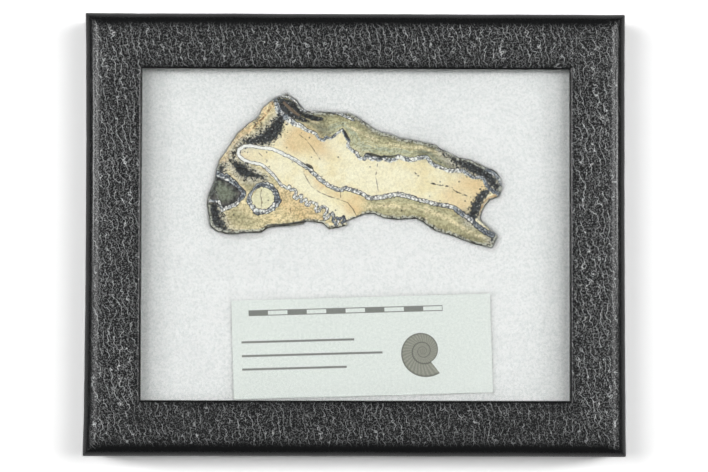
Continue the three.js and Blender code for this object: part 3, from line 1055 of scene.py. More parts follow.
paleLines = [
    [(-2.0, 11.4), (2.5, 9.3), (6.5, 7.3), (12.0, 6.1), (17.0, 6.0), (20.0, 4.9), (26.0, 3.0)],
    [(18.4, -8.6), (18.4, -13.8)], [(-13.2, 13.3), (-9.9, 12.5)],
    [(3.0, -9.6), (9.0, -9.0), (14.0, -10.0)],
    [(19.0, -10.2), (24.5, -12.8), (29.5, -15.8), (32.8, -17.2), (35.0, -16.9)],
    [(28.0, -15.2), (32.8, -17.4), (35.2, -16.9)], [(30.5, -16.2), (34.0, -17.3)]]

# soft patches of tone: x, y, radius, strength
warmPatches = [
    (-14.0, 9.0, 3.6, 1.0), (-10.0, 6.8, 3.5, 0.7), (-16.5, 6.3, 3.0, 0.7), (-6.5, 4.5, 3.0, 0.4),
    (32.0, -4.0, 2.4, 1.1), (28.5, -3.0, 3.0, 0.7), (28.0, -9.5, 2.6, 0.6), (31.0, -8.0, 2.0, 0.5),
    (-28.2, 4.2, 1.8, 1.3), (-18.0, -7.3, 2.5, 1.2), (-15.0, -9.6, 3.0, 0.9),
    (-12.0, -11.2, 2.5, 0.9), (-21.0, -12.8, 3.0, 0.5), (-2.5, -8.2, 2.2, 0.4),
    (0.5, -7.9, 2.4, 0.8), (-9.0, -12.6, 2.0, 0.7), (17.0, 0.6, 4.0, 0.25), (24.5, -6.6, 3.4, 0.7),
    (-1.0, -10.5, 2.2, 0.6), (-24.5, 3.6, 3.0, 0.35), (-28.3, -10.6, 2.0, 0.3)]
palePatches = [
    (0.0, 1.5, 5.0, 0.8), (5.0, -3.0, 5.0, 0.7), (-6.0, 6.8, 2.5, 0.6), (12.0, -2.0, 4.5, 0.7),
    (-18.5, 1.8, 3.5, 1.0), (-13.0, -3.6, 3.5, 1.0), (-9.0, -7.5, 3.0, 0.8), (-26.0, 3.9, 2.2, 0.6),
    (-28.6, 4.6, 2.0, 0.7), (4.0, 9.4, 2.2, 0.4), (12.0, 8.4, 2.4, 0.45), (10.2, -11.4, 2.0, 0.4),
    (-18.6, -7.4, 2.2, 0.35), (-5.0, -10.5, 2.5, 0.6), (22.0, -1.6, 3.0, 0.3)]
olivePatches = [
    (-27.0, -3.3, 2.4, 1.2), (-30.6, -11.6, 2.6, 0.9), (-27.5, -14.0, 2.6, 0.8),
    (-33.1, -6.0, 1.7, 0.7), (-21.0, -3.0, 1.6, 0.6), (6.0, -8.8, 4.0, 0.4),
    (-23.0, -14.8, 2.6, 0.5)]
speckPatches = [  # where fine dark specks gather
    (-17.8, 8.9, 1.7, 1.0), (-16.5, 10.9, 1.5, 0.6), (-28.2, 4.6, 1.6, 0.7), (-25.3, 13.0, 2.0, 0.7),
    (-24.6, 10.6, 1.6, 0.9), (-27.7, 8.6, 1.5, 0.9), (-30.6, 5.0, 1.5, 0.9), (-32.5, 1.6, 1.8, 0.8),
    (-33.6, -14.0, 2.4, 0.8), (-29.5, -15.8, 1.8, 0.6), (-25.2, -1.9, 1.7, 0.6), (-35.6, -0.2, 1.2, 0.7)]
brownStreak = [(-18.4, 17.4), (-16.5, 15.6), (-14.6, 14.2)]
rimLine = [(-22.2, 17.0), (-24.6, 13.9), (-27.2, 11.3), (-30.2, 8.6), (-33.0, 5.3), (-34.4, 2.6)]
notchLine = [(32.4, -12.2), (33.2, -9.4), (34.6, -7.4), (37.2, -6.3)]

sliceLook = {
    "tan": tone(254, 240, 196),
    "oliveTan": tone(222, 210, 163),
    "cream": tone(246, 234, 190),
    "pale": tone(255, 250, 222),
    "warm": tone(236, 208, 156),
    "olive": tone(160, 158, 122),
    "black": tone(18, 20, 23),
    "stain": tone(62, 66, 70),
    "rim": tone(250, 220, 172),
    "rimDark": tone(158, 122, 80),
    "white": tone(255, 255, 250),
    "blueGrey": tone(160, 169, 177),
    "slate": tone(92, 101, 114),
    "outline": tone(34, 37, 46),
    "crack": tone(96, 76, 52),
    "skin": tone(52, 50, 42),
    "side": tone(92, 80, 62),
    "sideDark": tone(48, 44, 38),
    "shadow": tone(66, 68, 58),
    "paleLine": tone(255, 242, 202),
    "halo": tone(216, 212, 194),
    "haloGrain": tone(240, 236, 220),
    "stainGrain": tone(176, 180, 178),
    "brown": tone(140, 116, 98),
    "charcoal": tone(44, 46, 48),
    "ash": tone(104, 100, 100),
    "horn": tone(112, 122, 106),
    "hornPale": tone(150, 156, 140),
    "disc": tone(226, 222, 184),
    "discPale": tone(242, 238, 204),
    "mottled": tone(186, 183, 172),
    "crust": tone(200, 202, 190),
    "polish": (0.2, 0.42),
    "relief": 0.03 * mm,
    # from the enamel outwards
    "upperStrip": [
        (0.02, (218, 214, 174)), (0.2, (204, 204, 168)), (0.36, (186, 194, 172)),
        (0.46, (228, 222, 180)), (0.56, (200, 196, 156)), (0.74, (184, 180, 142)),
        (0.94, (136, 134, 112))],
    "lowerStrip": [
        (0.05, (204, 198, 158)), (0.26, (194, 190, 152)), (0.42, (232, 222, 178)),
        (0.56, (202, 196, 156)), (0.8, (196, 190, 150)), (0.96, (148, 143, 116))],
}
shadePatches = [  # where the ground is darker
    (-8.0, 10.2, 2.6, 0.7), (17.5, 4.4, 2.2, 0.6), (22.0, 2.6, 2.2, 0.5), (25.0, 1.6, 2.0, 0.8),
    (20.5, 7.0, 3.2, 0.85), (28.0, 2.4, 3.0, 1.3), (-12.0, 14.2, 3.0, 0.5), (-17.0, 16.0, 2.6, 1.1),
    (-10.0, 12.4, 2.4, 0.35), (28.4, -10.8, 1.6, 0.6), (31.0, -17.3, 2.8, 0.6), (36.0, -18.6, 1.6, 0.9),
    (-31.5, -13.5, 3.0, 0.4), (-26.9, -2.8, 2.4, 0.6), (22.0, -11.4, 2.0, 0.4), (28.0, -13.9, 2.4, 0.5),
    (34.0, -16.6, 1.6, 0.4)]


def carried(points):
    # fills in the half width and shade that a point leaves out
    rows, last = [], (0.3, 0.5)
    for point in points:
        last = tuple(point[2:]) or last
        rows.append((*point[:2], *last))
    return np.array(rows)


def ringBand():
    turns, reach, shades = np.array(ring["outer"]).T
    angles = np.arange(-180, 181, 6)
    outer = np.interp(angles, turns, reach, period=360)
    shade = np.interp(angles, turns, shades, period=360)
    radius = (outer + ring["innerRadius"]) / 2
    x = ring["middle"][0] + radius * np.cos(np.radians(angles))
    y = ring["middle"][1] + radius * np.sin(np.radians(angles))
    return np.column_stack([x, y, (outer - ring["innerRadius"]) / 2, shade])


def enamelFields(points):
    # of the nearest band: how far across (1 at its edge) and along, its shade, and its dark side
    best = np.full(len(points), 99.0)
    across, along, shade, lean = best.copy(), best * 0, best * 0, best * 0
    bands = [(carried(line), enamelLean.get(name, 0.0)) for name, line in enamel.items()]
    offset = 0.0
    for band, darkSide in bands + [(ringBand(), 0.0)]:
        run = np.concatenate([[0], np.cumsum(np.hypot(*np.diff(band[:, :2], axis=0).T))])
        distance, side, travelled = nearestOnCurve(points, band[:, :2])
        half = np.interp(travelled, run, band[:, 2])
        gap = distance / half
        nearer = gap < best
        best = np.where(nearer, gap, best)
        across = np.where(nearer, gap * side, across)
        along = np.where(nearer, travelled + offset, along)
        shade = np.where(nearer, np.interp(travelled, run, band[:, 3]), shade)
        lean = np.where(nearer, darkSide * side, lean)
        offset += run[-1] + 7
    return np.clip(across, -12, 12), along, shade, lean


def lineDepth(points, lines):
    # how deep inside the widest of some thick lines, in millimetres
    depth = np.full(len(points), -9.0)
    for line in lines:
        rows = np.array(line)
        run = np.concatenate([[0], np.cumsum(np.hypot(*np.diff(rows[:, :2], axis=0).T))])
        distance, _, travelled = nearestOnCurve(points, rows[:, :2])
        half = np.interp(travelled, run, rows[:, 2]) if rows.shape[1] > 2 else 0
        depth = np.maximum(depth, half - distance)
    return depth


def softSum(points, patches):
    total = np.zeros(len(points))
    for x, y, radius, strength in patches:
        away = ((points - (x, y)) ** 2).sum(1) / radius ** 2
        total += strength * np.exp(-away)
    return total


def sliceFields(points, outline):
    upper, middle, lower = (carried(enamel[k])[:, :2] for k in ("upper", "middle", "lower"))
    crimp = carried(enamel["crimp"])[:, :2]
    farCorner, brown = 60.0, np.array(cracks[0])
    aboveUpper = np.vstack([upper, [(farCorner, -6.3), (farCorner, 40), (-21.5, 40)]])
    belowMiddle = np.vstack([
        middle[middle[:, 0] > -13], [(farCorner, -17), (farCorner, -40), (0.4, -40)], brown[::-1]])
    start = int((upper[:, 0] < -17).sum())
    between = np.vstack([
        upper[start:], [(farCorner, -10)], middle[middle[:, 0] > -22][::-1], [(-22, 8), (-19, 12.5)]])
    tongue = np.vstack([
        middle[middle[:, 0] < -13], brown, [(0.4, -40), (-2.3, -40)], crimp[::-1], lower[::-1]])
    edgeGap = depthInside(points, outline)
    toUpper = nearestOnCurve(points, upper)
    toMiddle = nearestOnCurve(points, middle)
    inUpper, inLower = depthInside(points, aboveUpper), depthInside(points, belowMiddle)
    nearBand = np.where(inUpper > inLower, toUpper[0], toMiddle[0])
    run = np.where(inUpper > inLower, toUpper[2], toMiddle[2])
    across, along, shade, lean = enamelFields(points)
    away = points - ring["middle"]
    turns, reach, _ = np.array(ring["outer"]).T
    outerRadius = np.interp(np.degrees(np.arctan2(away[:, 1], away[:, 0])), turns, reach, period=360)
    horn = carried(enamel["hornBar"])[:, :2]
    hornInside = depthInside(points, np.vstack([horn, [(-37, -8), (-38.5, -5)]]))
    return {
        "bandAcross": across, "bandAlong": along, "bandShade": shade, "bandLean": lean,
        "inkDepth": lineDepth(points, inkLines.values()),
        "upperStrip": inUpper, "lowerStrip": inLower, "creamField": depthInside(points, between),
        "tongue": depthInside(points, tongue),
        "stripShare": nearBand / (nearBand + np.maximum(edgeGap, 0) + 1e-6),
        "stripRun": run, "edgeGap": edgeGap, "ringReach": np.hypot(*away.T) - outerRadius,
        "hornInside": hornInside, "darkDepth": lineDepth(points, darkLines.values()),
        "stainDepth": lineDepth(points, stainLines.values()),
        "brownGap": -lineDepth(points, [brownStreak]),
        "crackGap": -lineDepth(points, cracks), "dottedGap": -lineDepth(points, dottedCracks),
        "paleGap": -lineDepth(points, paleLines), "rimGap": -lineDepth(points, [rimLine]),
        "notchGap": -lineDepth(points, [notchLine]), "warmth": softSum(points, warmPatches),
        "paleness": softSum(points, palePatches), "olive": softSum(points, olivePatches),
        "specks": softSum(points, speckPatches), "shade": softSum(points, shadePatches),
        "bandGap": np.abs(across)}


def makeEnamelPattern():
    # the enamel's own pattern: scalloped pebbles of white, blue-grey and slate between dark seams
    group, source, target = newGroup("enamelPattern", [
        ("Gap", "Float", None), ("Across", "Float", None), ("Along", "Float", None),
        ("Shade", "Float", None), ("Lean", "Float", None),
        ("White", "Color", sliceLook["white"]), ("Blue Grey", "Color", sliceLook["blueGrey"]),
        ("Slate", "Color", sliceLook["slate"]), ("Outline", "Color", sliceLook["outline"]),
    ], [("Color", "Color"), ("Mask", "Float")])
    tree = group
    place = addNode(tree, "ShaderNodeCombineXYZ", {
        0: source["Along"], 1: calc(tree, "MULTIPLY", source["Across"], 0.55)}).outputs[0]
    pebbles = cells(tree, place, 1.0)
    seams = cells(tree, place, 1.0, "DISTANCE_TO_EDGE").outputs["Distance"]
    ragged = noise(tree, place, 1.7, 3.0, 0.65)
    width = calc(tree, "MULTIPLY_ADD", pebbles.outputs["Distance"], -0.6, 1.2)
    width = calc(tree, "MULTIPLY_ADD", ragged, 1.1, width)
    share = calc(tree, "DIVIDE", source["Gap"], calc(tree, "MULTIPLY", width, 0.64))
    scalloped = calc(tree, "MULTIPLY_ADD", noise(tree, place, 1.4, 2.0, 0.6), 1.5, -0.75)
    share = calc(tree, "ADD", share, scalloped)
    feed(tree, target["Mask"], stepUp(tree, share, 1.24, 1.12))
    chosen = addNode(tree, "ShaderNodeSeparateColor", {"Color": pebbles.outputs["Color"]}).outputs[0]
    fine = noise(tree, place, 2.3, 3.0, 0.6)
    glint = stepUp(tree, noise(tree, place, 2.9, 2.0, 0.5), 0.56, 0.66)
    pit = stepUp(tree, noise(tree, place, 2.5, 2.0, 0.5, noise_dimensions="2D"), 0.6, 0.68)
    level = calc(tree, "MULTIPLY_ADD", chosen, 0.7, calc(tree, "MULTIPLY_ADD", fine, 1.3, -1.27))
    level = calc(tree, "ADD", level, source["Shade"])
    core = calc(tree, "MULTIPLY", stepUp(tree, share, 0.5, 0.15), source["Shade"])
    level = calc(tree, "MULTIPLY_ADD", core, 0.5, level)
    colour = layer(tree, stepUp(tree, level, 0.1, 0.5), source["White"], source["Blue Grey"])
    colour = layer(tree, stepUp(tree, level, 0.5, 0.95), colour, source["Slate"])
    colour = layer(tree, calc(tree, "MULTIPLY", glint, 0.7), colour, source["White"])
    strength = stepUp(tree, source["Shade"], -0.12, 0.3)
    broken = stepUp(tree, ragged, 0.38, 0.56)
    seam = calc(tree, "MULTIPLY", calc(tree, "MULTIPLY", stepUp(tree, seams, 0.2, 0.05), 0.9), broken)
    rim = stepUp(tree, calc(tree, "MULTIPLY_ADD", fine, 0.4, share), 0.96, 1.1)
    paleSide = calc(tree, "MULTIPLY_ADD", calc(tree, "MINIMUM", source["Lean"], 0.0), 0.85, 1.0)
    rim = calc(tree, "MULTIPLY", rim, paleSide)
    rim = calc(tree, "MULTIPLY", rim, stepUp(tree, source["Shade"], -0.6, 0.2))
    dark = calc(tree, "MAXIMUM", seam, calc(tree, "MULTIPLY", pit, 0.8))
    dark = calc(tree, "MAXIMUM", calc(tree, "MULTIPLY", dark, strength), rim)
    feed(tree, target["Color"], layer(tree, dark, colour, source["Outline"]))
    return group


enamelPattern = makeEnamelPattern()


def makeFossilMaterial():
    c = sliceLook
    material, tree, shader = newMaterial("polishedFossil")
    coords = objectCoords(tree)

    def field(name):
        return readField(tree, name)

    def times(first, second):
        return calc(tree, "MULTIPLY", first, second)

    def plus(first, amount, second):
        return calc(tree, "MULTIPLY_ADD", first, amount, second)

    def over(share, shade):
        # lays a shade over the colour so far
        return layer(tree, share, colour, shade)

    def rise(value, low, high):
        return stepUp(tree, value, low, high)

    def ramp(value, stops):
        return colourRamp(tree, value, [(place, tone(*shade)) for place, shade in stops])

    def grains(density, size, seed):
        # specks, from none at density 0 to half the surface at 1
        moved = stretch(tree, coords, (1, 1, 1), 0.0, (seed, seed, seed))
        return rise(plus(density, 0.3, noise(tree, moved, 1 / size, 2.0, 0.7)), 0.78, 0.86)

    broad = noise(tree, coords, 300.0, 4.0, 0.6)
    medium = noise(tree, coords, 650.0, 3.0, 0.65)
    fine = noise(tree, coords, 1300.0, 4.0, 0.65)
    grit = noise(tree, coords, 1900.0, 2.0, 0.7)
    wobble = plus(fine, 2.0, -1.0)
    rough = plus(grit, 2.0, -1.0)
    rightward = axisOf(tree, coords, 0)
    # the ground tones: tan, the two outer strips with streaks along them, the cream middle
    colour = layer(tree, rise(broad, 0.38, 0.66), c["tan"], c["oliveTan"])
    grain = noise(tree, stretch(tree, coords, (0.3, 1.0, 1.0), -0.5), 1500.0, 3.0, 0.6)
    colour = over(times(rise(grain, 0.5, 0.7), 0.35), c["rimDark"])
    laid = addNode(tree, "ShaderNodeCombineXYZ", {
        0: times(field("stripRun"), 0.11), 1: times(field("stripShare"), 6.0)}).outputs[0]
    streaks = noise(tree, laid, 1.8, 5.0, 0.65)
    across = plus(streaks, 1.0, calc(tree, "ADD", field("stripShare"), -0.5))
    upper, lower = rise(field("upperStrip"), -0.2, 0.2), rise(field("lowerStrip"), -0.2, 0.2)
    colour = over(upper, ramp(across, c["upperStrip"]))
    turned = rise(plus(broad, 4.0 * mm, rightward), 2.0 * mm, 7.0 * mm)
    plain = layer(tree, rise(broad, 0.35, 0.7), c["cream"], c["warm"])
    colour = over(lower, layer(tree, turned, plain, ramp(across, c["lowerStrip"])))
    inCream, inTongue = rise(field("creamField"), -0.2, 0.2), rise(field("tongue"), -0.2, 0.2)
    creamy = calc(tree, "MAXIMUM", inCream, inTongue)
    colour = over(creamy, layer(tree, rise(broad, 0.3, 0.75), c["cream"], c["pale"]))
    warm = times(rise(field("warmth"), 0.0, 1.1), plus(broad, 1.0, 0.3))
    colour = over(warm, c["warm"])
    colour = over(times(rise(field("paleness"), 0.1, 1.1), 0.75), c["pale"])
    green = times(rise(field("olive"), 0.1, 1.1), plus(fine, 1.2, 0.1))
    colour = over(times(green, 0.8), c["olive"])
    colour = over(times(rise(field("shade"), 0.0, 1.3), plus(streaks, 1.0, 0.3)), c["shadow"])
    # the orange rim on the upper left with its brown line, and the pale lines along the strips
    rim = plus(wobble, 0.5, field("rimGap"))
    colour = over(times(rise(rim, 1.6, 1.0), 0.95), layer(tree, rise(fine, 0.4, 0.6), c["rim"], c["tan"]))
    rimLineMask = rise(calc(tree, "ABSOLUTE", calc(tree, "ADD", rim, -0.9)), 0.34, 0.1)
    colour = over(times(rimLineMask, rise(medium, 0.42, 0.56)), c["rimDark"])
    pale = plus(wobble, 0.2, field("paleGap"))
    colour = over(times(rise(pale, 0.7, 0.1), times(rise(grain, 0.7, 0.4), 0.75)), c["paleLine"])
    # grey round the stains, black and white grains in it, then the stains themselves
    near = rise(field("stainDepth"), -2.6, 0.0)
    spoiled = times(near, rise(field("creamField"), 0.6, -0.6))
    colour = over(times(spoiled, plus(fine, 1.3, 0.2)), c["halo"])
    colour = over(times(grains(spoiled, 0.5 * mm, 1.0), 0.9), c["haloGrain"])
    colour = over(grains(near, 0.55 * mm, 2.0), c["black"])
    stained = plus(rough, 1.1, plus(wobble, 0.8, calc(tree, "ADD", field("stainDepth"), -0.25)))
    inked = layer(tree, rise(grit, 0.42, 0.6), c["black"], c["stain"])
    inked = layer(tree, times(grains(0.62, 0.6 * mm, 3.0), 0.85), inked, c["stainGrain"])
    colour = over(rise(stained, -0.45, 0.2), inked)
    darkened = plus(rough, 0.6, plus(wobble, 0.4, field("darkDepth")))
    colour = over(rise(darkened, -0.35, 0.0), inked)
    brown = plus(wobble, 0.2, field("brownGap"))
    colour = over(times(rise(brown, 0.5, 0.15), 0.8), c["brown"])
    # the horn at the left end, the ring's disc, the notch at the right end
    horn = rise(plus(wobble, 0.5, field("hornInside")), -0.1, 0.4)
    deepHorn = rise(plus(wobble, 1.4, field("hornInside")), 0.8, 2.7)
    charcoal = layer(tree, rise(medium, 0.4, 0.6), c["charcoal"], c["ash"])
    hornMiddle = layer(tree, fine, c["horn"], c["hornPale"])
    colour = over(horn, layer(tree, deepHorn, charcoal, hornMiddle))
    hornSkin = times(horn, rise(plus(wobble, 0.6, field("edgeGap")), 1.5, 0.6))
    colour = over(times(hornSkin, 0.85), inked)
    disc = rise(field("ringReach"), -1.0, -1.3)
    colour = over(disc, layer(tree, rise(fine, 0.35, 0.6), c["disc"], c["discPale"]))
    notch = rise(plus(wobble, 0.3, field("notchGap")), 0.75, 0.5)
    colour = over(notch, layer(tree, fine, c["rimDark"], c["rim"]))
    # mottling and grains everywhere, faint in the cream
    clean = calc(tree, "MAXIMUM", creamy, times(lower, calc(tree, "SUBTRACT", 1.0, turned)))
    clean = calc(tree, "MAXIMUM", clean, disc)
    mottle = layer(tree, rise(grit, 0.38, 0.58), c["mottled"], tone(255, 255, 255))
    colour = layer(tree, plus(clean, -0.6, 0.85), colour, mottle, "MULTIPLY")
    skin = rise(field("edgeGap"), 1.3, 0.0)
    amount = plus(rise(field("specks"), 0.0, 1.0), 0.75, plus(skin, 0.4, 0.22))
    colour = over(times(grains(plus(clean, -0.2, amount), 0.5 * mm, 4.0), 0.85), c["skin"])
    crusty = layer(tree, rise(grit, 0.43, 0.54), c["skin"], c["crust"])
    crust = plus(wobble, 0.8, plus(clean, 0.35, field("edgeGap")))
    bare = rise(field("rimGap"), 1.2, 2.2)
    bare = times(bare, plus(horn, -0.9, 1.0))
    colour = over(times(times(rise(crust, 0.8, 0.4), 0.9), plus(bare, 0.8, 0.2)), crusty)
    bands = useGroup(tree, enamelPattern, {
        "Gap": field("bandGap"), "Across": field("bandAcross"), "Along": field("bandAlong"),
        "Shade": field("bandShade"), "Lean": field("bandLean")})
    colour = over(bands["Mask"], bands["Color"])
    colour = over(times(rise(plus(rough, 0.35, field("inkDepth")), -0.12, 0.02), 0.9), c["black"])
    # cracks, dotted cracks and specks
    line = rise(plus(wobble, 0.14, field("crackGap")), 0.19, 0.06)
    broken = rise(noise(tree, coords, 600.0, 1.0), 0.35, 0.5)
    colour = over(times(times(line, broken), 0.8), c["crack"])
    dots = rise(plus(wobble, 0.25, field("dottedGap")), 0.26, 0.08)
    colour = over(times(dots, rise(noise(tree, coords, 1400.0, 0.0), 0.42, 0.52)), c["black"])
    spots = cells(tree, coords, 800.0)
    size = addNode(tree, "ShaderNodeSeparateColor", {"Color": spots.outputs["Color"]}).outputs[1]
    speck = times(rise(spots.outputs["Distance"], 0.24, 0.12), rise(size, 0.88, 0.95))
    colour = over(times(speck, 0.8), c["black"])
    # rough bark on the flanks
    flank = rise(upwardShare(tree), 0.75, 0.35)
    colour = over(times(flank, 0.8), layer(tree, fine, c["side"], c["sideDark"]))
    feed(tree, shader.inputs["Base Color"], colour)
    glossy, dull = c["polish"]
    polish = plus(fine, dull - glossy, glossy)
    feed(tree, shader.inputs["Roughness"], layerValue(tree, flank, polish, 0.8))
    bump(tree, shader, calc(tree, "SUBTRACT", times(fine, 0.4), line), c["relief"])
    return material


def makeSlice():
    s = sliceShape
    low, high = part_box("molar_slice")
    middle = np.array(s["middle"])
    chance = np.random.default_rng(11)
    outline = evenly(sliceOutline, s["rimStep"])
    x, y = outline.T
    jag = s["rimJitter"] * (softLumps(x, y, 1.7, 31) + 0.6 * softLumps(x, y, 0.8, 32))
    outline = outline + (pushedOut(outline, 1.0) - outline) * (jag - 0.05)[:, None]
    grid = hexGrid(outline.min(0), outline.max(0), s["gridStep"])
    grid = grid + chance.uniform(-0.06, 0.06, grid.shape) * s["gridStep"]
    grid = grid[depthInside(grid, outline) > 0.5 * s["gridStep"]]
    places, faces = triangulate([outline], grid, lambda m: insideOutline(m, outline))
    count, rim = len(places), len(outline)
    heights = high.z - s["topWave"] * (1 + softLumps(places[:, 0], places[:, 1], 14, 33)) / 2
    vertices = [np.column_stack([places * mm, heights])]
    plan = [places]
    faces = faces.tolist()
    previous, total = list(range(rim)), count
    normalOut = pushedOut(outline, 1.0) - outline
    for share in s["wallLevels"]:
        z = high.z + (low.z + s["lift"] - high.z) * share
        rough = s["wallRough"] * softLumps(outline[:, 0] + share * 3, outline[:, 1] - share * 2, 1.1, 34)
        swell = s["wallSwell"] * softLumps(outline[:, 0], outline[:, 1] + share * 5, 7.0, 35)
        push = (rough + swell) * min(1, share * 6) - s["undercut"] * min(1, share * 8)
        push = np.clip(push, -0.6, 0.08)
        ringPlan = outline + normalOut * push[:, None]
        plan.append(ringPlan)
        vertices.append(np.column_stack([ringPlan * mm, np.full(rim, z)]))
        fresh = list(range(total, total + rim))
        for k in range(rim):
            after = (k + 1) % rim
            faces.append((previous[k], fresh[k], fresh[after], previous[after]))
        previous, total = fresh, total + rim
    under = plan[-1]
    floorGrid = hexGrid(under.min(0), under.max(0), 1.0)
    floorGrid = floorGrid[depthInside(floorGrid, under) > 0.5]
    floorPlaces, floorFaces = triangulate([under], floorGrid, lambda m: insideOutline(m, under))
    extra = floorPlaces[rim:]
    sag = 0.12 * mm * (1 + softLumps(extra[:, 0], extra[:, 1], 3, 36))
    vertices.append(np.column_stack([extra * mm, low.z + s["lift"] + sag]))
    plan.append(extra)
    index = previous + list(range(total, total + len(extra)))
    faces += [[index[i] for i in face[::-1]] for face in floorFaces.tolist()]
    material = makeFossilMaterial()
    made = meshObject("molar_section", np.vstack(vertices).tolist(), faces, material)
    points = np.vstack(plan) - middle
    local = outline - middle
    parts = [sliceFields(chunk, local) for chunk in np.array_split(points, max(1, len(points) // 9000))]
    for name in parts[0]:
        writeField(made.data, name, np.concatenate([part[name] for part in parts]))
    made.data.set_sharp_from_angle(angle=math.radians(50))
    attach(made, "root")
    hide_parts("molar_slice")
    return made


molar = makeSlice()
print("slice made:", len(molar.data.polygons), "faces")


# Label: a paper slip printed with a scale bar, plain rules and a coiled shell

# in millimetres from the slip's middle, except where mm is given
labelLook = {
    "paper": tone(236, 241, 237),
    "paperThin": tone(224, 230, 226),
    "ink": tone(100, 101, 96),
    "roughness": 0.8,
    "relief": 0.02 * mm,
    "thick": 0.18 * mm,
    "wave": 0.05 * mm,
    "inset": 0.02,
    "spans": (56, 22),
    "turn": math.radians(1.7),
    "size": (66.7, 25.4),
    "middle": (1.9, -28.85),  # on the case's plan
    "barLeft": -29.0,
    "barFoot": 8.6,
    "barTall": 1.5,
    "barBlock": 5.0,
    "barBlocks": 10,
    "barLine": (0.2, 0.25),  # thickness of an empty block's outline, upright and level
    "rules": [(1.9, -2.0), (-1.65, 5.2), (-5.1, -4.1)],  # height and right-hand end of each line
    "ruleLeft": -31.0,
    "ruleWidth": 0.55,
    "shell": (15.6, -1.6),
    "shellReach": 7.2,
    "whorlGrowth": 2.05,
    "ribs": 34,
    "shellDark": tone(112, 112, 102),
    "shellLight": tone(186, 186, 172),
    "shellRib": tone(96, 96, 88),
    "shellSeam": tone(74, 74, 68),
}


def makeLabelMaterial():
    s = labelLook
    material, tree, shader = newMaterial("printedSlip")
    uv = addNode(tree, "ShaderNodeUVMap", uv_map="paper").outputs["UV"]
    x, y = axisOf(tree, uv, 0), axisOf(tree, uv, 1)

    def between(value, low, high, soft=0.06):
        rise = stepUp(tree, value, low - soft, low + soft)
        return calc(tree, "MULTIPLY", rise, stepUp(tree, value, high + soft, high - soft))

    tooth = noise(tree, uv, 9.0, 3.0, 0.6)
    fade = calc(tree, "MULTIPLY_ADD", tooth, 0.3, 0.7)
    # the scale bar: alternate blocks filled, the others outlined
    left, right = s["barLeft"], s["barLeft"] + s["barBlock"] * s["barBlocks"]
    foot, head = s["barFoot"], s["barFoot"] + s["barTall"]
    inBar = calc(tree, "MULTIPLY", between(x, left, right), between(y, foot, head))
    block = calc(tree, "DIVIDE", calc(tree, "SUBTRACT", x, left), s["barBlock"])
    odd = calc(tree, "GREATER_THAN", calc(tree, "MODULO", block, 2.0), 1.0)
    upright, flat = s["barLine"]
    inner = calc(tree, "MULTIPLY", between(x, left + upright, right - upright),
                 between(y, foot + flat, head - flat))
    ink = calc(tree, "SUBTRACT", inBar, calc(tree, "MULTIPLY", inner, odd))
    for height, end in s["rules"]:
        across = between(y, height - s["ruleWidth"] / 2, height + s["ruleWidth"] / 2)
        rule = calc(tree, "MULTIPLY", between(x, s["ruleLeft"], end), across)
        ink = calc(tree, "MAXIMUM", ink, rule)
    pulp = stepUp(tree, noise(tree, uv, 1.6, 3.0, 0.7), 0.35, 0.65)
    sheet = layer(tree, pulp, s["paperThin"], s["paper"])
    colour = layer(tree, calc(tree, "MULTIPLY", ink, fade), sheet, s["ink"])
    # the coiled shell, from its spiral's own formula
    inputs = {0: uv, 1: (*s["shell"], 0)}
    away = addNode(tree, "ShaderNodeVectorMath", inputs, operation="SUBTRACT").outputs[0]
    radius = addNode(tree, "ShaderNodeVectorMath", {0: away}, operation="LENGTH").outputs["Value"]
    angle = calc(tree, "ARCTAN2", axisOf(tree, away, 1), axisOf(tree, away, 0))
    turn = calc(tree, "MODULO", calc(tree, "MULTIPLY_ADD", angle, 0.5 / math.pi, 1.15), 1.0)
    growth = math.log(s["whorlGrowth"])
    share = calc(tree, "DIVIDE", radius, s["shellReach"])
    depth = calc(tree, "DIVIDE", calc(tree, "LOGARITHM", share, math.e), growth)
    whorl = calc(tree, "SUBTRACT", calc(tree, "SUBTRACT", turn, 1.0), depth)
    inside = stepUp(tree, whorl, -0.01, 0.03)
    inner = calc(tree, "FRACT", whorl)
    ribPhase = calc(tree, "MULTIPLY", inner, 5.0)
    ribPhase = calc(tree, "MULTIPLY_ADD", turn, s["ribs"] * 2 * math.pi, ribPhase)
    rib = calc(tree, "MULTIPLY_ADD", calc(tree, "SINE", ribPhase), 0.5, 0.5)
    seam = calc(tree, "MAXIMUM", stepUp(tree, inner, 0.16, 0.02), stepUp(tree, inner, 0.88, 0.99))
    mottle = noise(tree, uv, 2.2, 4.0, 0.7)
    body = layer(tree, mottle, s["shellDark"], s["shellLight"])
    body = layer(tree, calc(tree, "MULTIPLY", rib, 0.5), body, s["shellRib"])
    body = layer(tree, calc(tree, "MULTIPLY", seam, 0.8), body, s["shellSeam"])
    colour = layer(tree, calc(tree, "MULTIPLY", inside, 0.95), colour, body)
    feed(tree, shader.inputs["Base Color"], colour)
    shader.inputs["Roughness"].default_value = s["roughness"]
    bump(tree, shader, tooth, s["relief"])
    return material


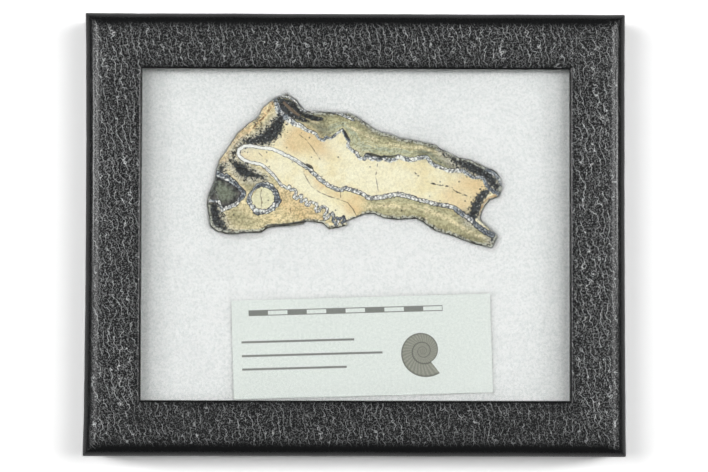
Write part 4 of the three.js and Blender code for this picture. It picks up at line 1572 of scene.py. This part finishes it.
def makeLabel():
    s = labelLook
    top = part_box("label")[1].z
    wide, tall = s["size"]
    columns, rows = s["spans"]
    inset = s["inset"]
    cosine, sine = math.cos(s["turn"]), math.sin(s["turn"])
    vertices, uvs, faces = [], [], []
    for layerIndex in (1, 0):
        for j in range(rows + 1):
            for i in range(columns + 1):
                u, v = (i / columns - 0.5) * wide, (j / rows - 0.5) * tall
                x = s["middle"][0] + (u * cosine - v * sine) * (1 - inset / wide)
                y = s["middle"][1] + (u * sine + v * cosine) * (1 - inset / tall)
                wave = 0.5 + 0.5 * math.sin(u * 0.16 + 1.0) * math.cos(v * 0.21)
                z = top - inset * mm - s["wave"] * wave - (0 if layerIndex else s["thick"])
                vertices.append((x * mm, y * mm, z))
                uvs.append((u, v))
    stride, half = columns + 1, (columns + 1) * (rows + 1)
    for j in range(rows):
        for i in range(columns):
            a = j * stride + i
            faces.append((a, a + 1, a + 1 + stride, a + stride))
            faces.append((half + a + stride, half + a + 1 + stride, half + a + 1, half + a))
    rim = list(range(columns)) + [j * stride + columns for j in range(rows)]
    rim += [rows * stride + i for i in range(columns, 0, -1)] + [j * stride for j in range(rows, 0, -1)]
    faces += [(b, a, half + a, half + b) for a, b in zip(rim, rim[1:] + rim[:1])]
    made = meshObject("label_slip", vertices, faces, makeLabelMaterial())
    layerUv = made.data.uv_layers.new(name="paper")
    for loop in made.data.loops:
        layerUv.data[loop.index].uv = uvs[loop.vertex_index]
    made.data.set_sharp_from_angle(angle=math.radians(40))
    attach(made, "root")
    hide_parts("label")
    return made


label = makeLabel()
print("label made")


# Floor, camera and light

studio = {
    "floorSize": 6.0,
    "floorColour": (0.9, 0.9, 0.9, 1.0),
    "floorSeen": (2.2, 2.2, 2.2, 1.0),  # the paper's exposure to the camera, past white
    "ambient": 0.04,
    "overhead": 5.7,  # two patches of light left and right of straight above
    # where each patch starts, is full, begins to fade and ends, as parts of its direction
    "patchAcross": (0.17, 0.36, 0.56, 0.7),
    "patchAlong": (-0.08, 0.0, 0.2, 0.3),
    "side": {"size": (0.08, 0.08), "place": (0.51, 0.055, 0.33), "power": 0.48},
    "lens": 118.5,
    "cameraPlace": (-5.924 * mm, -24.416 * mm, 615.54 * mm),
    "cameraTurns": (2.29, -0.546, 0.13),  # degrees
}


def addSoftBox(name, spec, mirror=1):
    lamp = bpy.data.lights.new(name, "AREA")
    lamp.shape = "RECTANGLE"
    lamp.size, lamp.size_y = spec["size"]
    lamp.energy = spec["power"]
    box = bpy.data.objects.new(name, lamp)
    x, y, z = spec["place"]
    box.location = (x * mirror, y, z)
    box.rotation_euler = Vector((-x * mirror, -y, -z)).to_track_quat("-Z", "Y").to_euler()
    scene.collection.objects.link(box)


def makeStudio():
    half = studio["floorSize"] / 2
    paper, tree, shader = newMaterial("palePaper")
    tree.nodes.remove(shader)
    seen = addNode(tree, "ShaderNodeLightPath").outputs["Is Camera Ray"]
    shade = layer(tree, seen, studio["floorColour"], studio["floorSeen"])
    showSurface(tree, addNode(tree, "ShaderNodeBsdfDiffuse", {"Color": shade}).outputs[0])
    corners = [(-half, -half, 0), (half, -half, 0), (half, half, 0), (-half, half, 0)]
    floor = meshObject("floor", corners, [(0, 1, 2, 3)], paper, smooth=False)
    addSoftBox("leftSoftBox", studio["side"], -1)
    addSoftBox("rightSoftBox", studio["side"], 1)
    world = bpy.data.worlds.new("studio")
    world.use_nodes = True
    tree = world.node_tree
    aim = addNode(tree, "ShaderNodeTexCoord").outputs["Generated"]
    strength = stepUp(tree, axisOf(tree, aim, 2), 0.0, 0.1)
    sideways = calc(tree, "ABSOLUTE", axisOf(tree, aim, 0))
    patches = ((sideways, studio["patchAcross"]), (axisOf(tree, aim, 1), studio["patchAlong"]))
    for way, (start, full, fading, end) in patches:
        strength = calc(tree, "MULTIPLY", strength, stepUp(tree, way, start, full))
        strength = calc(tree, "MULTIPLY", strength, stepUp(tree, way, end, fading))
    background = tree.nodes["Background"]
    background.inputs["Color"].default_value = (1, 1, 1, 1)
    strength = calc(tree, "MULTIPLY_ADD", strength, studio["overhead"], studio["ambient"])
    feed(tree, background.inputs["Strength"], strength)
    scene.world = world


def makeCamera():
    lens = bpy.data.cameras.new("camera")
    lens.sensor_width = 36.0
    lens.lens = studio["lens"]
    lens.clip_start, lens.clip_end = 0.01, 20.0
    camera = bpy.data.objects.new("camera", lens)
    camera.location = studio["cameraPlace"]
    camera.rotation_euler = Euler([math.radians(turn) for turn in studio["cameraTurns"]])
    scene.collection.objects.link(camera)
    scene.camera = camera


makeStudio()
makeCamera()
scene.view_settings.view_transform = "Standard"
print("studio ready")
